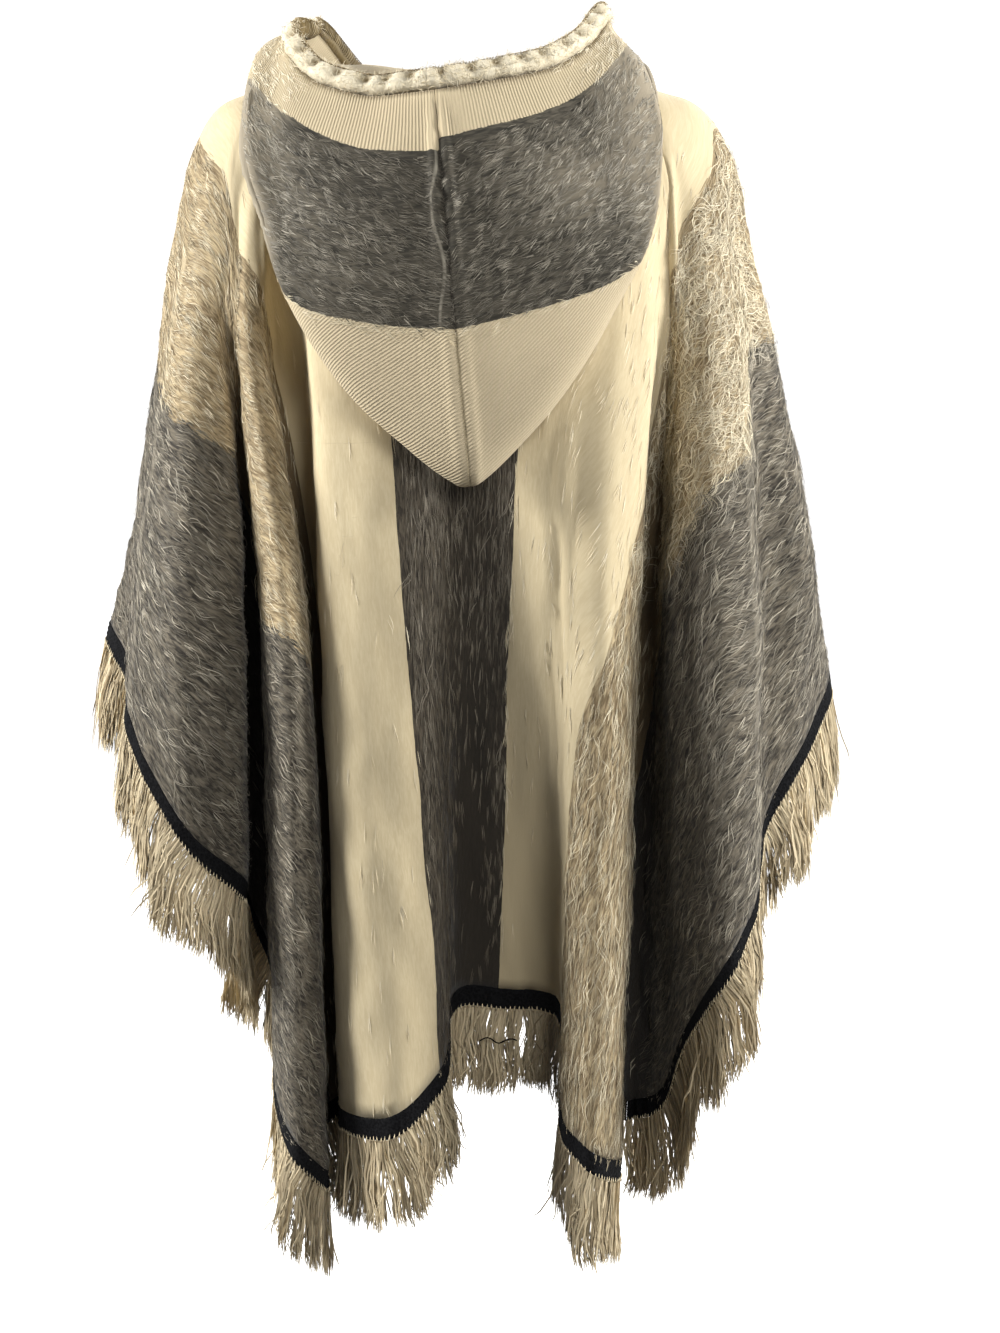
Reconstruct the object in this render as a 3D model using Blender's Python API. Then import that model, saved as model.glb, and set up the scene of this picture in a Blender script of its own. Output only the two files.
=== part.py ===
"""A hooded Andean poncho in brushed wool, worn open over unseen shoulders.

Metres, +Z up. The back of the garment faces -Y and the front faces +Y. The origin is the middle of
the neck, level with the top of the back neck seam, where the wearer's shoulders carry the cloth.
In the tables `out` is the distance behind the origin, so that y = -out.
"""

import math

import bpy
import numpy as np
from mathutils import Vector
from mathutils.bvhtree import BVHTree

# Thicknesses and widths
WALL = 0.003            # brushed cloth
HOOD_WALL = 0.003
EDGING_WALL = 0.0040    # black crochet round all four sides
EDGING_WIDTH = 0.019
FRINGE_WALL = 0.0055
FRINGE_LENGTH = 0.080
FRINGE_BEND = 0.012     # the tassels leave the edge square to it, then hang
SEAM_GAP = 0.0003
HEM_GAP = 0.0011        # square to the hem, between the cloth, its edging and its fringe

# Neck seam, and the ring where the cloth turns over the shoulders
NECK_HALF_WIDTH = 0.088
NECK_BACK = 0.074
NECK_FRONT = 0.100
NECK_SIDE_RISE = 0.008
NECK_FRONT_DROP = 0.090
SHOULDER_HALF_WIDTH = 0.224
SHOULDER_RIGHT_SHARE = 0.96     # the right shoulder lies a little closer in
SHOULDER_BACK = 0.118
SHOULDER_FRONT = 0.112
SHOULDER_BACK_DROP = 0.085
SHOULDER_SIDE_DROP = 0.020
SHOULDER_FRONT_DROP = 0.105

# Heights of the two folded rings between the shoulders and the hem
YOKE_Z = -0.175
ELBOW_Z = -0.440
ELBOW_SHARE = 0.55      # a short side takes its elbow ring this far from the yoke down to its hem

# How finely the rings and the rows between them are divided
STEPS_ROUND = 2
ROWS = (3, 2, 2, 4)     # neck to shoulder, to yoke, to elbow, to hem

# Back, from the left wrist to the right one: crests, flanks and valleys of the folds.
# station          yoke x,   out   elbow x,   out    hem x,    out,    z
BACK = (
    ("left_wrist",   -0.272, 0.000,  -0.297, 0.000,  -0.335, 0.000, -0.500),
    ("left_facet",   -0.264, 0.022,  -0.296, 0.042,  -0.306, 0.068, -0.532),
    ("left_arm_l",   -0.254, 0.038,  -0.281, 0.110,  -0.294, 0.141, -0.564),
    ("left_arm",     -0.236, 0.060,  -0.236, 0.176,  -0.236, 0.197, -0.658),
    ("left_arm_r",   -0.219, 0.068,  -0.193, 0.146,  -0.196, 0.168, -0.704),
    ("left_pleat_l", -0.208, 0.069,  -0.204, 0.075,  -0.202, 0.060, -0.752),
    ("left_pleat_r", -0.203, 0.071,  -0.184, 0.075,  -0.180, 0.056, -0.800),
    ("corner_l",     -0.199, 0.080,  -0.174, 0.152,  -0.162, 0.184, -0.903),
    ("corner",       -0.192, 0.093,  -0.152, 0.183,  -0.141, 0.222, -0.930),
    ("corner_r",     -0.181, 0.092,  -0.138, 0.158,  -0.121, 0.188, -0.965),
    ("deep_pleat_l", -0.168, 0.088,  -0.151, 0.088,  -0.146, 0.072, -0.962),
    ("deep_pleat_r", -0.146, 0.086,  -0.129, 0.084,  -0.114, 0.054, -0.938),
    ("cream_l",      -0.127, 0.108,  -0.118, 0.169,  -0.103, 0.190, -0.910),
    ("cream",        -0.092, 0.122,  -0.084, 0.183,  -0.060, 0.233, -0.900),
    ("cream_r",      -0.045, 0.129,  -0.036, 0.172,  -0.019, 0.197, -0.868),
    ("middle_l",     -0.012, 0.129,  -0.004, 0.146,  -0.008, 0.124, -0.818),
    ("middle",        0.026, 0.130,   0.028, 0.149,   0.038, 0.119, -0.820),
    ("middle_r",      0.062, 0.130,   0.070, 0.172,   0.082, 0.124, -0.825),
    ("tan_l",         0.092, 0.130,   0.094, 0.182,   0.088, 0.195, -0.915),
    ("tan",           0.125, 0.127,   0.122, 0.187,   0.108, 0.229, -0.932),
    ("tan_r",         0.157, 0.112,   0.149, 0.158,   0.134, 0.195, -0.952),
    ("right_pleat_l", 0.171, 0.086,   0.151, 0.073,   0.127, 0.081, -0.944),
    ("right_pleat_r", 0.180, 0.081,   0.172, 0.064,   0.150, 0.058, -0.946),
    ("right_flank",   0.187, 0.081,   0.178, 0.101,   0.178, 0.096, -0.924),
    ("right_arm_l",   0.194, 0.079,   0.180, 0.143,   0.198, 0.146, -0.848),
    ("right_arm",     0.213, 0.078,   0.214, 0.179,   0.228, 0.197, -0.774),
    ("right_arm_r",   0.236, 0.058,   0.250, 0.159,   0.254, 0.170, -0.726),
    ("right_crease",  0.245, 0.038,   0.259, 0.110,   0.264, 0.117, -0.668),
    ("right_facet",   0.258, 0.019,   0.304, 0.081,   0.299, 0.087, -0.612),
    ("right_wrist",   0.269, 0.000,   0.309, 0.000,   0.341, 0.000, -0.547),
)
BACK_CORNERS = ("corner_r", "right_pleat_r")

# Front, from the right wrist to the left one, with calmer folds of the same kind.
FRONT = (
    ("f_right_facet",   0.262, -0.022,   0.300, -0.036,   0.306, -0.059, -0.575),
    ("f_right_arm_l",   0.246, -0.040,   0.276, -0.092,   0.280, -0.126, -0.620),
    ("f_right_arm",     0.222, -0.060,   0.236, -0.149,   0.238, -0.184, -0.690),
    ("f_right_arm_r",   0.206, -0.069,   0.202, -0.123,   0.202, -0.151, -0.752),
    ("f_right_valley_l", 0.199, -0.071,  0.205, -0.058,  0.208, -0.036, -0.802),
    ("f_right_valley_r", 0.188, -0.076,  0.188, -0.060,  0.192, -0.036, -0.822),
    ("f_right_corner_l", 0.180, -0.086,  0.175, -0.120,   0.177, -0.142, -0.862),
    ("f_right_corner",  0.160, -0.098,   0.150, -0.159,   0.150, -0.203, -0.886),
    ("f_right_corner_r", 0.138, -0.103,  0.122, -0.131,   0.118, -0.162, -0.872),
    ("f_right_pleat_l",  0.124, -0.104,  0.111, -0.096,   0.108, -0.080, -0.850),
    ("f_right_pleat_r",  0.110, -0.106,  0.095, -0.097,   0.086, -0.080, -0.843),
    ("f_right_roll",    0.086, -0.114,   0.072, -0.154,   0.064, -0.180, -0.835),
    ("f_middle_r",      0.048, -0.117,   0.036, -0.144,   0.036, -0.172, -0.815),
    ("f_middle",        0.004, -0.118,   0.002, -0.131,  -0.002, -0.120, -0.805),
    ("f_middle_l",     -0.044, -0.117,  -0.036, -0.146,  -0.034, -0.162, -0.812),
    ("f_left_roll",    -0.082, -0.114,  -0.074, -0.159,  -0.070, -0.197, -0.830),
    ("f_left_pleat_l", -0.106, -0.106, -0.094, -0.096,  -0.090, -0.080, -0.841),
    ("f_left_pleat_r", -0.119, -0.104, -0.111, -0.097,  -0.112, -0.080, -0.850),
    ("f_left_corner_r", -0.134, -0.104, -0.124, -0.128,  -0.120, -0.156, -0.872),
    ("f_left_corner",  -0.160, -0.099,  -0.150, -0.156,  -0.148, -0.197, -0.890),
    ("f_left_corner_l", -0.182, -0.087, -0.176, -0.118,  -0.176, -0.140, -0.858),
    ("f_left_valley_r", -0.190, -0.077, -0.189, -0.060,  -0.192, -0.036, -0.810),
    ("f_left_valley_l", -0.200, -0.071, -0.205, -0.056,  -0.208, -0.036, -0.790),
    ("f_left_arm_r",   -0.209, -0.070,  -0.204, -0.120,  -0.202, -0.148, -0.735),
    ("f_left_arm",     -0.227, -0.061,  -0.238, -0.146,  -0.238, -0.181, -0.665),
    ("f_left_arm_l",   -0.250, -0.041,  -0.278, -0.090,  -0.280, -0.123, -0.590),
    ("f_left_facet",   -0.267, -0.021,  -0.303, -0.033,  -0.308, -0.057, -0.535),
)
FRONT_CORNERS = ("f_right_corner", "f_left_corner")

# The cloth is one piece. It is divided along these fold lines into simpler solids.
PANELS = (
    ("body_back_left", "left_wrist", "deep_pleat_l"),
    ("body_back_middle", "deep_pleat_l", "right_pleat_l"),
    ("body_back_right", "right_pleat_l", "right_wrist"),
    ("body_front_right", "right_wrist", "f_right_pleat_l"),
    ("body_front_middle", "f_right_pleat_l", "f_left_pleat_r"),
    ("body_front_left", "f_left_pleat_r", "left_wrist"),
)

# Hood, thrown back as an open pouch. Each row is one section from the rim, down the outer face,
# round the bottom fold and up the inner face to the neck seam. `turn` is the section's place on the
# neck seam in degrees, 0 at the middle of the back and 180 at the front.
# turn    rim x,    out,      z   fold x,    out,      z  outer, inner bulge, fold radius
HOOD_LEFT = (
    (0,   -0.024,  0.126, -0.014,   0.006,  0.186, -0.345,  0.034, 0.012, 0.010),
    (26,  -0.078,  0.112, -0.018,  -0.083,  0.176, -0.280,  0.034, 0.012, 0.011),
    (50,  -0.122,  0.080, -0.010,  -0.134,  0.156, -0.205,  0.032, 0.012, 0.013),
    (74,  -0.150,  0.030,  0.036,  -0.160,  0.126, -0.128,  0.022, 0.010, 0.013),
    (98,  -0.142, -0.022,  0.058,  -0.164,  0.078, -0.032,  0.009, 0.006, 0.012),
    (122, -0.122, -0.068,  0.038,  -0.154,  0.000,  0.012,  0.005, 0.004, 0.010),
    (146, -0.086, -0.108, -0.008,  -0.124, -0.086, -0.024,  0.006, 0.002, 0.008),
    (166, -0.042, -0.136, -0.042,  -0.070, -0.136, -0.060,  0.003, 0.001, 0.006),
    (178, -0.010, -0.146, -0.074,  -0.022, -0.150, -0.086,  0.001, 0.000, 0.004),
)
HOOD_RIGHT = (
    (0,   -0.024,  0.126, -0.014,   0.006,  0.186, -0.345,  0.034, 0.012, 0.010),
    (26,   0.030,  0.114, -0.004,   0.072,  0.176, -0.280,  0.034, 0.012, 0.011),
    (50,   0.078,  0.092,  0.009,   0.120,  0.156, -0.205,  0.032, 0.012, 0.013),
    (74,   0.112,  0.056,  0.034,   0.152,  0.128, -0.124,  0.020, 0.010, 0.013),
    (98,   0.128,  0.004,  0.060,   0.151,  0.078, -0.030,  0.006, 0.006, 0.012),
    (122,  0.116, -0.050,  0.034,   0.142,  0.004,  0.012,  0.004, 0.004, 0.010),
    (146,  0.082, -0.104, -0.006,   0.122, -0.084, -0.024,  0.006, 0.002, 0.009),
    (166,  0.042, -0.136, -0.044,   0.068, -0.136, -0.060,  0.003, 0.001, 0.006),
    (178,  0.010, -0.146, -0.074,   0.022, -0.150, -0.086,  0.001, 0.000, 0.004),
)
HOOD_STEPS_ROUND = 2
HOOD_ROWS = (2, 2, 1, 1, 2, 3)
HOOD_LAP = 0.0038       # the hood's neck edge lies this far outside the body's
HOOD_CLEARANCE = ((0, 4, 6, 11), (0.024, 0.014, 0.0065, 0.0048))    # off the body, by row
CHEST = Vector((0, 0, -0.13))   # inside the garment, from which all of the yoke can be seen
MOST_SLANT = 0.45
REST_PASSES = 3

RIM_HEIGHT = 0.020      # rolled casing along the hood's opening
RIM_DEPTH = 0.015
RIM_GAP = 0.0014
RIM_END = 0.006         # the roll stops this far short of where its edges meet in front
RIM_SIDES = 6

# colour, roughness
CREAM = ((0.64, 0.55, 0.38, 1), 0.90)
CHARCOAL = ((0.075, 0.068, 0.060, 1), 0.92)
CROCHET_BLACK = ((0.012, 0.012, 0.015, 1), 0.85)
FRINGE_TAN = ((0.47, 0.38, 0.24, 1), 0.92)


def clear_scene():
    for obj in list(bpy.data.objects):
        bpy.data.objects.remove(obj, do_unlink=True)


def material(name, finish):
    colour, roughness = finish
    made = bpy.data.materials.new(name)
    made.use_nodes = True
    shader = made.node_tree.nodes["Principled BSDF"]
    shader.inputs["Base Color"].default_value = colour
    shader.inputs["Roughness"].default_value = roughness
    shader.inputs["Metallic"].default_value = 0.0
    return made


def spline(points, steps, closed=False):
    """A smooth line through `points`; `steps` is the number of parts in each span."""
    points = np.asarray(points, float)
    count = len(points)
    ring = np.arange(count + (1 if closed else 0)) % count
    spans = len(ring) - 1
    steps = [steps] * spans if np.isscalar(steps) else list(steps)
    chord = np.sqrt(np.linalg.norm(np.diff(points[ring], axis=0), axis=1)) + 1e-6
    tangent = np.zeros_like(points)
    for i in range(count):
        if not closed and i in (0, count - 1):
            near = 0 if i == 0 else spans - 1
            tangent[i] = (points[near + 1] - points[near]) / chord[near]
            continue
        before, after = chord[(i - 1) % spans], chord[i % spans]
        back, ahead = points[i] - points[i - 1], points[(i + 1) % count] - points[i]
        tangent[i] = back / before - (back + ahead) / (before + after) + ahead / after
    line = []
    for span in range(spans):
        a, b = ring[span], ring[span + 1]
        for part in range(steps[span]):
            t = part / steps[span]
            line.append(
                (2 * t**3 - 3 * t**2 + 1) * points[a]
                + (t**3 - 2 * t**2 + t) * chord[span] * tangent[a]
                + (3 * t**2 - 2 * t**3) * points[b]
                + (t**3 - t**2) * chord[span] * tangent[b]
            )
    if not closed:
        line.append(points[-1])
    return np.array(line)


def neck_point(turn):
    """A point of the neck seam; `turn` is in radians, 0 behind, half a circle in front."""
    across, along = math.sin(turn), math.cos(turn)
    out = along * (NECK_BACK if along > 0 else NECK_FRONT)
    drop = NECK_FRONT_DROP * abs(along) ** 2.5 if along < 0 else 0.0
    return np.array((NECK_HALF_WIDTH * across, -out, NECK_SIDE_RISE * across**2 - drop))


def shoulder_point(turn):
    """A point of the ring where the cloth turns down over the shoulders."""
    across, along = math.sin(turn), math.cos(turn)
    out = along * (SHOULDER_BACK if along > 0 else SHOULDER_FRONT)
    drop = SHOULDER_BACK_DROP if along > 0 else SHOULDER_FRONT_DROP
    z = -SHOULDER_SIDE_DROP * across**2 - drop * along**2
    half = SHOULDER_HALF_WIDTH * (SHOULDER_RIGHT_SHARE if across > 0 else 1.0)
    return np.array((half * across, -out, z))


def station_points(row):
    """The five points of one fold line, from the neck seam down to the hem."""
    _, yoke_x, yoke_out, elbow_x, elbow_out, hem_x, hem_out, hem_z = row
    depth = SHOULDER_BACK if yoke_out > 0 else SHOULDER_FRONT
    turn = math.atan2(yoke_x / SHOULDER_HALF_WIDTH, yoke_out / depth)
    elbow_z = max(ELBOW_Z, YOKE_Z + ELBOW_SHARE * (hem_z - YOKE_Z))
    return np.array((
        neck_point(turn),
        shoulder_point(turn),
        (yoke_x, -yoke_out, YOKE_Z),
        (elbow_x, -elbow_out, elbow_z),
        (hem_x, -hem_out, hem_z),
    ))


def body_grid():
    """Rows from neck to hem, columns round the body from the left wrist over the back."""
    stations = np.array([station_points(row) for row in BACK + FRONT])
    rings = [spline(stations[:, level], STEPS_ROUND, closed=True) for level in range(5)]
    columns = [spline(line, ROWS) for line in np.swapaxes(np.array(rings), 0, 1)]
    return np.swapaxes(np.array(columns), 0, 1)


def column_of(name):
    names = [row[0] for row in BACK + FRONT]
    return names.index(name) * STEPS_ROUND


def across_and_along(grid, closed):
    """Directions round the rows and down the columns at every point of a grid."""
    if closed:
        across = np.roll(grid, -1, axis=1) - np.roll(grid, 1, axis=1)
    else:
        across = np.gradient(grid, axis=1)
    return across, np.gradient(grid, axis=0)


def facing(grid, closed):
    """Unit directions square to the cloth, away from the body."""
    across, along = across_and_along(grid, closed)
    normal = np.cross(across, along)
    normal /= -np.linalg.norm(normal, axis=2, keepdims=True)
    return normal


def stretch(grid, normal, first, last):
    """The columns from `first` round to `last`, drawn in by half a seam gap at both ends."""
    count = grid.shape[1]
    columns = [(first + i) % count for i in range((last - first) % count + 1)]
    across = np.roll(grid, -1, axis=1) - np.roll(grid, 1, axis=1)
    across /= np.linalg.norm(across, axis=2, keepdims=True)
    piece = grid[:, columns].copy()
    piece[:, 0] += across[:, columns[0]] * SEAM_GAP / 2
    piece[:, -1] -= across[:, columns[-1]] * SEAM_GAP / 2
    return piece, normal[:, columns]


def sheet(name, grid, normal, wall, finish):
    """A closed cloth wall, half its thickness to each side of `grid`."""
    rows, columns = grid.shape[:2]
    count = rows * columns
    points = np.concatenate((grid + normal * wall / 2, grid - normal * wall / 2))
    quads = [
        (r * columns + c, (r + 1) * columns + c, (r + 1) * columns + c + 1, r * columns + c + 1)
        for r in range(rows - 1)
        for c in range(columns - 1)
    ]
    faces = quads + [tuple(count + i for i in reversed(quad)) for quad in quads]
    low = (rows - 1) * columns
    # Facing rims are split along the same diagonal, so that neighbouring sheets stay parallel.
    for c in range(columns - 1):
        faces += [(c, c + 1, count + c + 1), (c, count + c + 1, count + c)]
        faces += [(low + c + 1, low + c, count + low + c + 1)]
        faces += [(low + c, count + low + c, count + low + c + 1)]
    for r in range(rows - 1):
        here, there = r * columns, (r + 1) * columns
        faces += [(there, here, count + there), (here, count + here, count + there)]
        here, there = here + columns - 1, there + columns - 1
        faces += [(here, there, count + there), (here, count + there, count + here)]
    mesh = bpy.data.meshes.new(name)
    mesh.from_pydata(points.reshape(-1, 3).tolist(), [], faces)
    mesh.shade_smooth()
    mesh.set_sharp_from_angle(angle=math.radians(50))
    obj = bpy.data.objects.new(name, mesh)
    bpy.context.scene.collection.objects.link(obj)
    obj.data.materials.append(material(name, finish))
    return obj


def squareness(hem, down):
    """The sine of the smaller angle that the hem makes with `down`, either side of each column."""
    ahead = np.roll(hem, -1, axis=0) - hem
    ahead /= np.linalg.norm(ahead, axis=1, keepdims=True)
    sine = np.linalg.norm(np.cross(ahead, down), axis=1)
    return np.minimum(sine, np.roll(sine, 1))


def whole_grid():
    """The cloth, its edging and its fringe as one grid; returns it with the rows of each."""
    cloth = body_grid()
    hem = cloth[-1]
    down = hem - cloth[-2]
    down /= np.linalg.norm(down, axis=1, keepdims=True)
    gap = down * (HEM_GAP / squareness(hem, down))[:, None]
    edging_top = hem - down * EDGING_WIDTH
    cut = edging_top - gap
    fringe_top = hem + gap
    bend = fringe_top + down * FRINGE_BEND
    ends = bend + np.array((0, 0, FRINGE_BEND - FRINGE_LENGTH))
    grid = np.array([*cloth[:-1], cut, edging_top, hem, fringe_top, bend, ends])
    normal = facing(cloth, closed=True)
    normal = np.concatenate((normal, np.repeat(normal[-1:], len(grid) - len(cloth), axis=0)))
    last = len(cloth)
    return grid, normal, slice(0, last), slice(last, last + 2), slice(last + 2, last + 5)


def hem_stretches():
    """Name, first column and last column of each of the four sides of the cloth."""
    back_left, back_right = (column_of(name) for name in BACK_CORNERS)
    front_right, front_left = (column_of(name) for name in FRONT_CORNERS)
    return (
        ("back", back_left, back_right),
        ("right", back_right, front_right),
        ("front", front_right, front_left),
        ("left", front_left, back_left),
    )


def make_body():
    """The cloth, the crochet edging on its four sides, and the fringe below it."""
    grid, normal, cloth, edging, fringe = whole_grid()
    for name, first, last in PANELS:
        piece, away = stretch(grid, normal, column_of(first), column_of(last))
        sheet(name, piece[cloth], away[cloth], WALL, CREAM)
    for side, first, last in hem_stretches():
        piece, away = stretch(grid, normal, first, last)
        sheet(f"edging_{side}", piece[edging], away[edging], EDGING_WALL, CROCHET_BLACK)
        sheet(f"fringe_{side}", piece[fringe], away[fringe], FRINGE_WALL, FRINGE_TAN)
    return grid[cloth]


def hood_section(row, side):
    """Points of one section: rim, outer face, bottom fold, inner face, neck seam."""
    turn, rim_x, rim_out, rim_z, fold_x, fold_out, fold_z, outer, inner, radius = row
    seam = neck_point(math.radians(turn) * side)
    away = seam * (1, 1, 0)
    away /= np.linalg.norm(away)
    lap = (away * 0.5 + np.array((0, 0, 0.87))) * HOOD_LAP
    rim = np.array((rim_x, -rim_out, rim_z))
    fold = np.array((fold_x, -fold_out, fold_z))
    lift = np.array((0, 0, radius))
    return np.array((
        rim,
        rim * 0.5 + fold * 0.5 + away * outer,
        fold + away * radius + lift,
        fold,
        fold - away * radius + lift,
        fold * 0.5 + (seam + lap) * 0.5 + away * inner,
        seam + lap,
    ))


def body_tree(cloth):
    """The body's middle surface as triangles facing out, for finding what lies under the hood."""
    rows, columns = cloth.shape[:2]
    faces = [
        (r * columns + c, (r + 1) * columns + c,
         (r + 1) * columns + (c + 1) % columns, r * columns + (c + 1) % columns)
        for r in range(rows - 1)
        for c in range(columns)
    ]
    return BVHTree.FromPolygons(cloth.reshape(-1, 3).tolist(), faces)


def shortage(tree, point, clearance):
    """How far a point lies inside `clearance` of the body, seen from the chest."""
    ray = Vector(point) - CHEST
    found, away, _, distance = tree.ray_cast(CHEST, ray.normalized())
    if found is None:
        return 0.0
    slant = max(abs(away.dot(ray.normalized())), MOST_SLANT)
    return max(0.0, distance + clearance / slant - ray.length)


def rest_on(tree, grid, clearance):
    """Pushes points out from the chest until they and the faces round them clear the body."""
    rows, columns = grid.shape[:2]
    for _ in range(REST_PASSES):
        start = grid.copy()
        for r, c in np.ndindex(rows, columns):
            near = [
                (start[r, c] + start[i, j]) / 2
                for i in range(max(r - 1, 0), min(r + 2, rows))
                for j in range(max(c - 1, 0), min(c + 2, columns))
            ]
            push = max(shortage(tree, point, clearance[r]) for point in near)
            away = start[r, c] - np.array(CHEST)
            grid[r, c] += away / np.linalg.norm(away) * push


def hood_grid(table, side, tree):
    sections = np.array([hood_section(row, side) for row in table])
    levels = [spline(sections[:, i], HOOD_STEPS_ROUND) for i in range(sections.shape[1])]
    columns = [spline(line, HOOD_ROWS) for line in np.swapaxes(np.array(levels), 0, 1)]
    grid = np.swapaxes(np.array(columns), 0, 1)
    rest_on(tree, grid, np.interp(np.arange(len(grid)), *HOOD_CLEARANCE))
    return grid


def make_hood(cloth):
    """Two panels that meet at the middle seam, and the rolled rim along their opening."""
    tree = body_tree(cloth)
    left, right = hood_grid(HOOD_LEFT, -1, tree), hood_grid(HOOD_RIGHT, 1, tree)
    for panel, side in ((left, -1), (right, 1)):
        panel[:, 0, 0] += side * SEAM_GAP / 2
    for name, panel in (("hood_left", left[:, ::-1]), ("hood_right", right)):
        normal = facing(panel, closed=False)
        middle = normal[:, 0 if name == "hood_right" else -1]
        middle[:, 0] = 0.0
        middle /= np.linalg.norm(middle, axis=1, keepdims=True)
        sheet(name, panel, normal, HOOD_WALL, CHARCOAL)
    edge = np.vstack((left[0, ::-1], right[0, 1:]))
    below = np.vstack((left[1, ::-1], right[1, 1:]))
    rise = edge - below
    rise /= np.linalg.norm(rise, axis=1, keepdims=True)
    make_rim(edge + rise * (RIM_HEIGHT / 2 + RIM_GAP), rise)


def make_rim(line, rise):
    """A closed roll along `line`, taller than it is deep."""
    for end, inner in ((0, 1), (-1, -2)):
        step = line[inner] - line[end]
        line[end] += step / np.linalg.norm(step) * RIM_END
    along = np.gradient(line, axis=0)
    along /= np.linalg.norm(along, axis=1, keepdims=True)
    through = np.cross(along, rise)
    through /= np.linalg.norm(through, axis=1, keepdims=True)
    count = len(line)
    points = []
    for centre, up, across in zip(line, rise, through):
        for i in range(RIM_SIDES):
            angle = 2 * math.pi * i / RIM_SIDES
            points.append(
                centre
                + up * math.sin(angle) * RIM_HEIGHT / 2
                + across * math.cos(angle) * RIM_DEPTH / 2
            )
    faces = [
        (
            r * RIM_SIDES + i,
            (r + 1) * RIM_SIDES + i,
            (r + 1) * RIM_SIDES + (i + 1) % RIM_SIDES,
            r * RIM_SIDES + (i + 1) % RIM_SIDES,
        )
        for r in range(count - 1)
        for i in range(RIM_SIDES)
    ]
    faces.append(tuple(range(RIM_SIDES)))
    faces.append(tuple((count - 1) * RIM_SIDES + i for i in reversed(range(RIM_SIDES))))
    mesh = bpy.data.meshes.new("hood_rim")
    mesh.from_pydata([tuple(p) for p in points], [], faces)
    obj = bpy.data.objects.new("hood_rim", mesh)
    bpy.context.scene.collection.objects.link(obj)
    obj.data.materials.append(material("hood_rim", CREAM))


def main():
    clear_scene()
    cloth = make_body()
    make_hood(cloth)


main()
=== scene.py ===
"""Finish of a hooded Andean poncho: striped brushed cloth, crocheted edging, fringe and hood.

Metres, +Z up. The back of the garment faces -Y. In the tables `out` is the distance behind the
middle of the neck, so that y = -out.
"""

import math

import bpy
import numpy as np
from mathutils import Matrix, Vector
from mathutils.bvhtree import BVHTree


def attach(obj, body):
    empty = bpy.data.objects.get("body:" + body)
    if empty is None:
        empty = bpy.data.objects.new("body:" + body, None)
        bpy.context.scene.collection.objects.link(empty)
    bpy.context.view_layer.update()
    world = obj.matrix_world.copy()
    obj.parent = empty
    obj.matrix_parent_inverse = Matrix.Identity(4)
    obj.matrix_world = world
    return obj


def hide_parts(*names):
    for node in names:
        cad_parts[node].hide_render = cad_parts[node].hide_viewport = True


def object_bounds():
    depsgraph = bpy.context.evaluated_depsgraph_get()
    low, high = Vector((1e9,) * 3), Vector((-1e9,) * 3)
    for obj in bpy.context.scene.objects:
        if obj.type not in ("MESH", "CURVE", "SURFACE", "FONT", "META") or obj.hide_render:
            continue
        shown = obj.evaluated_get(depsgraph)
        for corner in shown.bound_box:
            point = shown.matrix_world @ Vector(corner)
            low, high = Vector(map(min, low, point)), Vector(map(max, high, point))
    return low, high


SEED = 11

# Thicknesses and widths
WALL, HOOD_WALL, EDGING_WALL = 0.003, 0.003, 0.003
EDGING_WIDTH = 0.019
FRINGE_LENGTH = 0.080
SEAM_GAP, HEM_GAP = 0.0003, 0.0001

# Neck seam, and the ring where the cloth turns over the shoulders
NECK_HALF_WIDTH = 0.088
NECK_BACK = 0.074
NECK_FRONT = 0.100
NECK_SIDE_RISE = 0.008
NECK_FRONT_DROP = 0.090
SHOULDER_HALF_WIDTH = 0.224
SHOULDER_RIGHT_SHARE = 0.96     # the right shoulder lies a little closer in
SHOULDER_BACK = 0.118
SHOULDER_FRONT = 0.112
SHOULDER_BACK_DROP = 0.085
SHOULDER_SIDE_DROP = 0.020
SHOULDER_FRONT_DROP = 0.105
YOKE_Z = -0.175
ELBOW_Z, ELBOW_SHARE = -0.440, 0.55     # whichever is higher: a height, a share of the drop

# The cut: a rectangle, edging included, with its stripes running from front to back
CUT_HALF_WIDTH = 0.740
CUT_HALF_LENGTH = 0.850
CUT_NECK = 0.095
# Stripes, by distance from the middle: where each begins, and its yarn
CREAM_FROM, TAN_FROM, GREY_FROM = 0.067, 0.277, 0.488
STRIPES = ((0, "charcoal"), (CREAM_FROM, "cream"), (TAN_FROM, "tan"), (GREY_FROM, "grey"))
# yarn          ground                 brushed nap            long loose hair, unevenness of the nap
YARNS = {
    "charcoal": ((0.018, 0.014, 0.009), (0.088, 0.071, 0.048), (0.300, 0.262, 0.198), 0.35),
    "grey": ((0.021, 0.017, 0.012), (0.188, 0.160, 0.115), (0.660, 0.595, 0.460), 0.75),
    "hood_grey": ((0.016, 0.014, 0.009), (0.124, 0.107, 0.077), (0.520, 0.472, 0.372), 0.60),
    "cream": ((0.520, 0.428, 0.264), (0.590, 0.499, 0.322), (0.800, 0.720, 0.540), 0.05),
    "tan": ((0.150, 0.106, 0.054), (0.490, 0.388, 0.228), (0.940, 0.840, 0.610), 0.50),
}
# Dark and light of the hood's cream weave, the rim, the crochet, the fringe and the floor
HOOD_CREAM = ((0.440, 0.362, 0.230), (0.600, 0.498, 0.330))
RIM_CREAM = ((0.54, 0.475, 0.33), (0.88, 0.80, 0.62))
BLACK = ((0.0010, 0.0010, 0.0012), (0.0085, 0.0085, 0.0092))
FRINGE_DARK, FRINGE_PALE = (0.280, 0.215, 0.125), (0.740, 0.620, 0.405)
PAPER_WHITE = ((0.86, 0.86, 0.86), (0.90, 0.90, 0.90))
# GOLD is also the colour of painted shade in the rim's pinches and under the rim, and of the dark
# seam line
GOLD = (0.165, 0.118, 0.048)        # thread that whips the rim

# Passes that even out the flat cut down the columns, and round the shoulders
DOWN_PASSES, SHOULDER_PASSES = 16, 60
LEAST_FORWARD = 0.25        # share of a step down the cloth that goes along the stripes, at least

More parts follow.
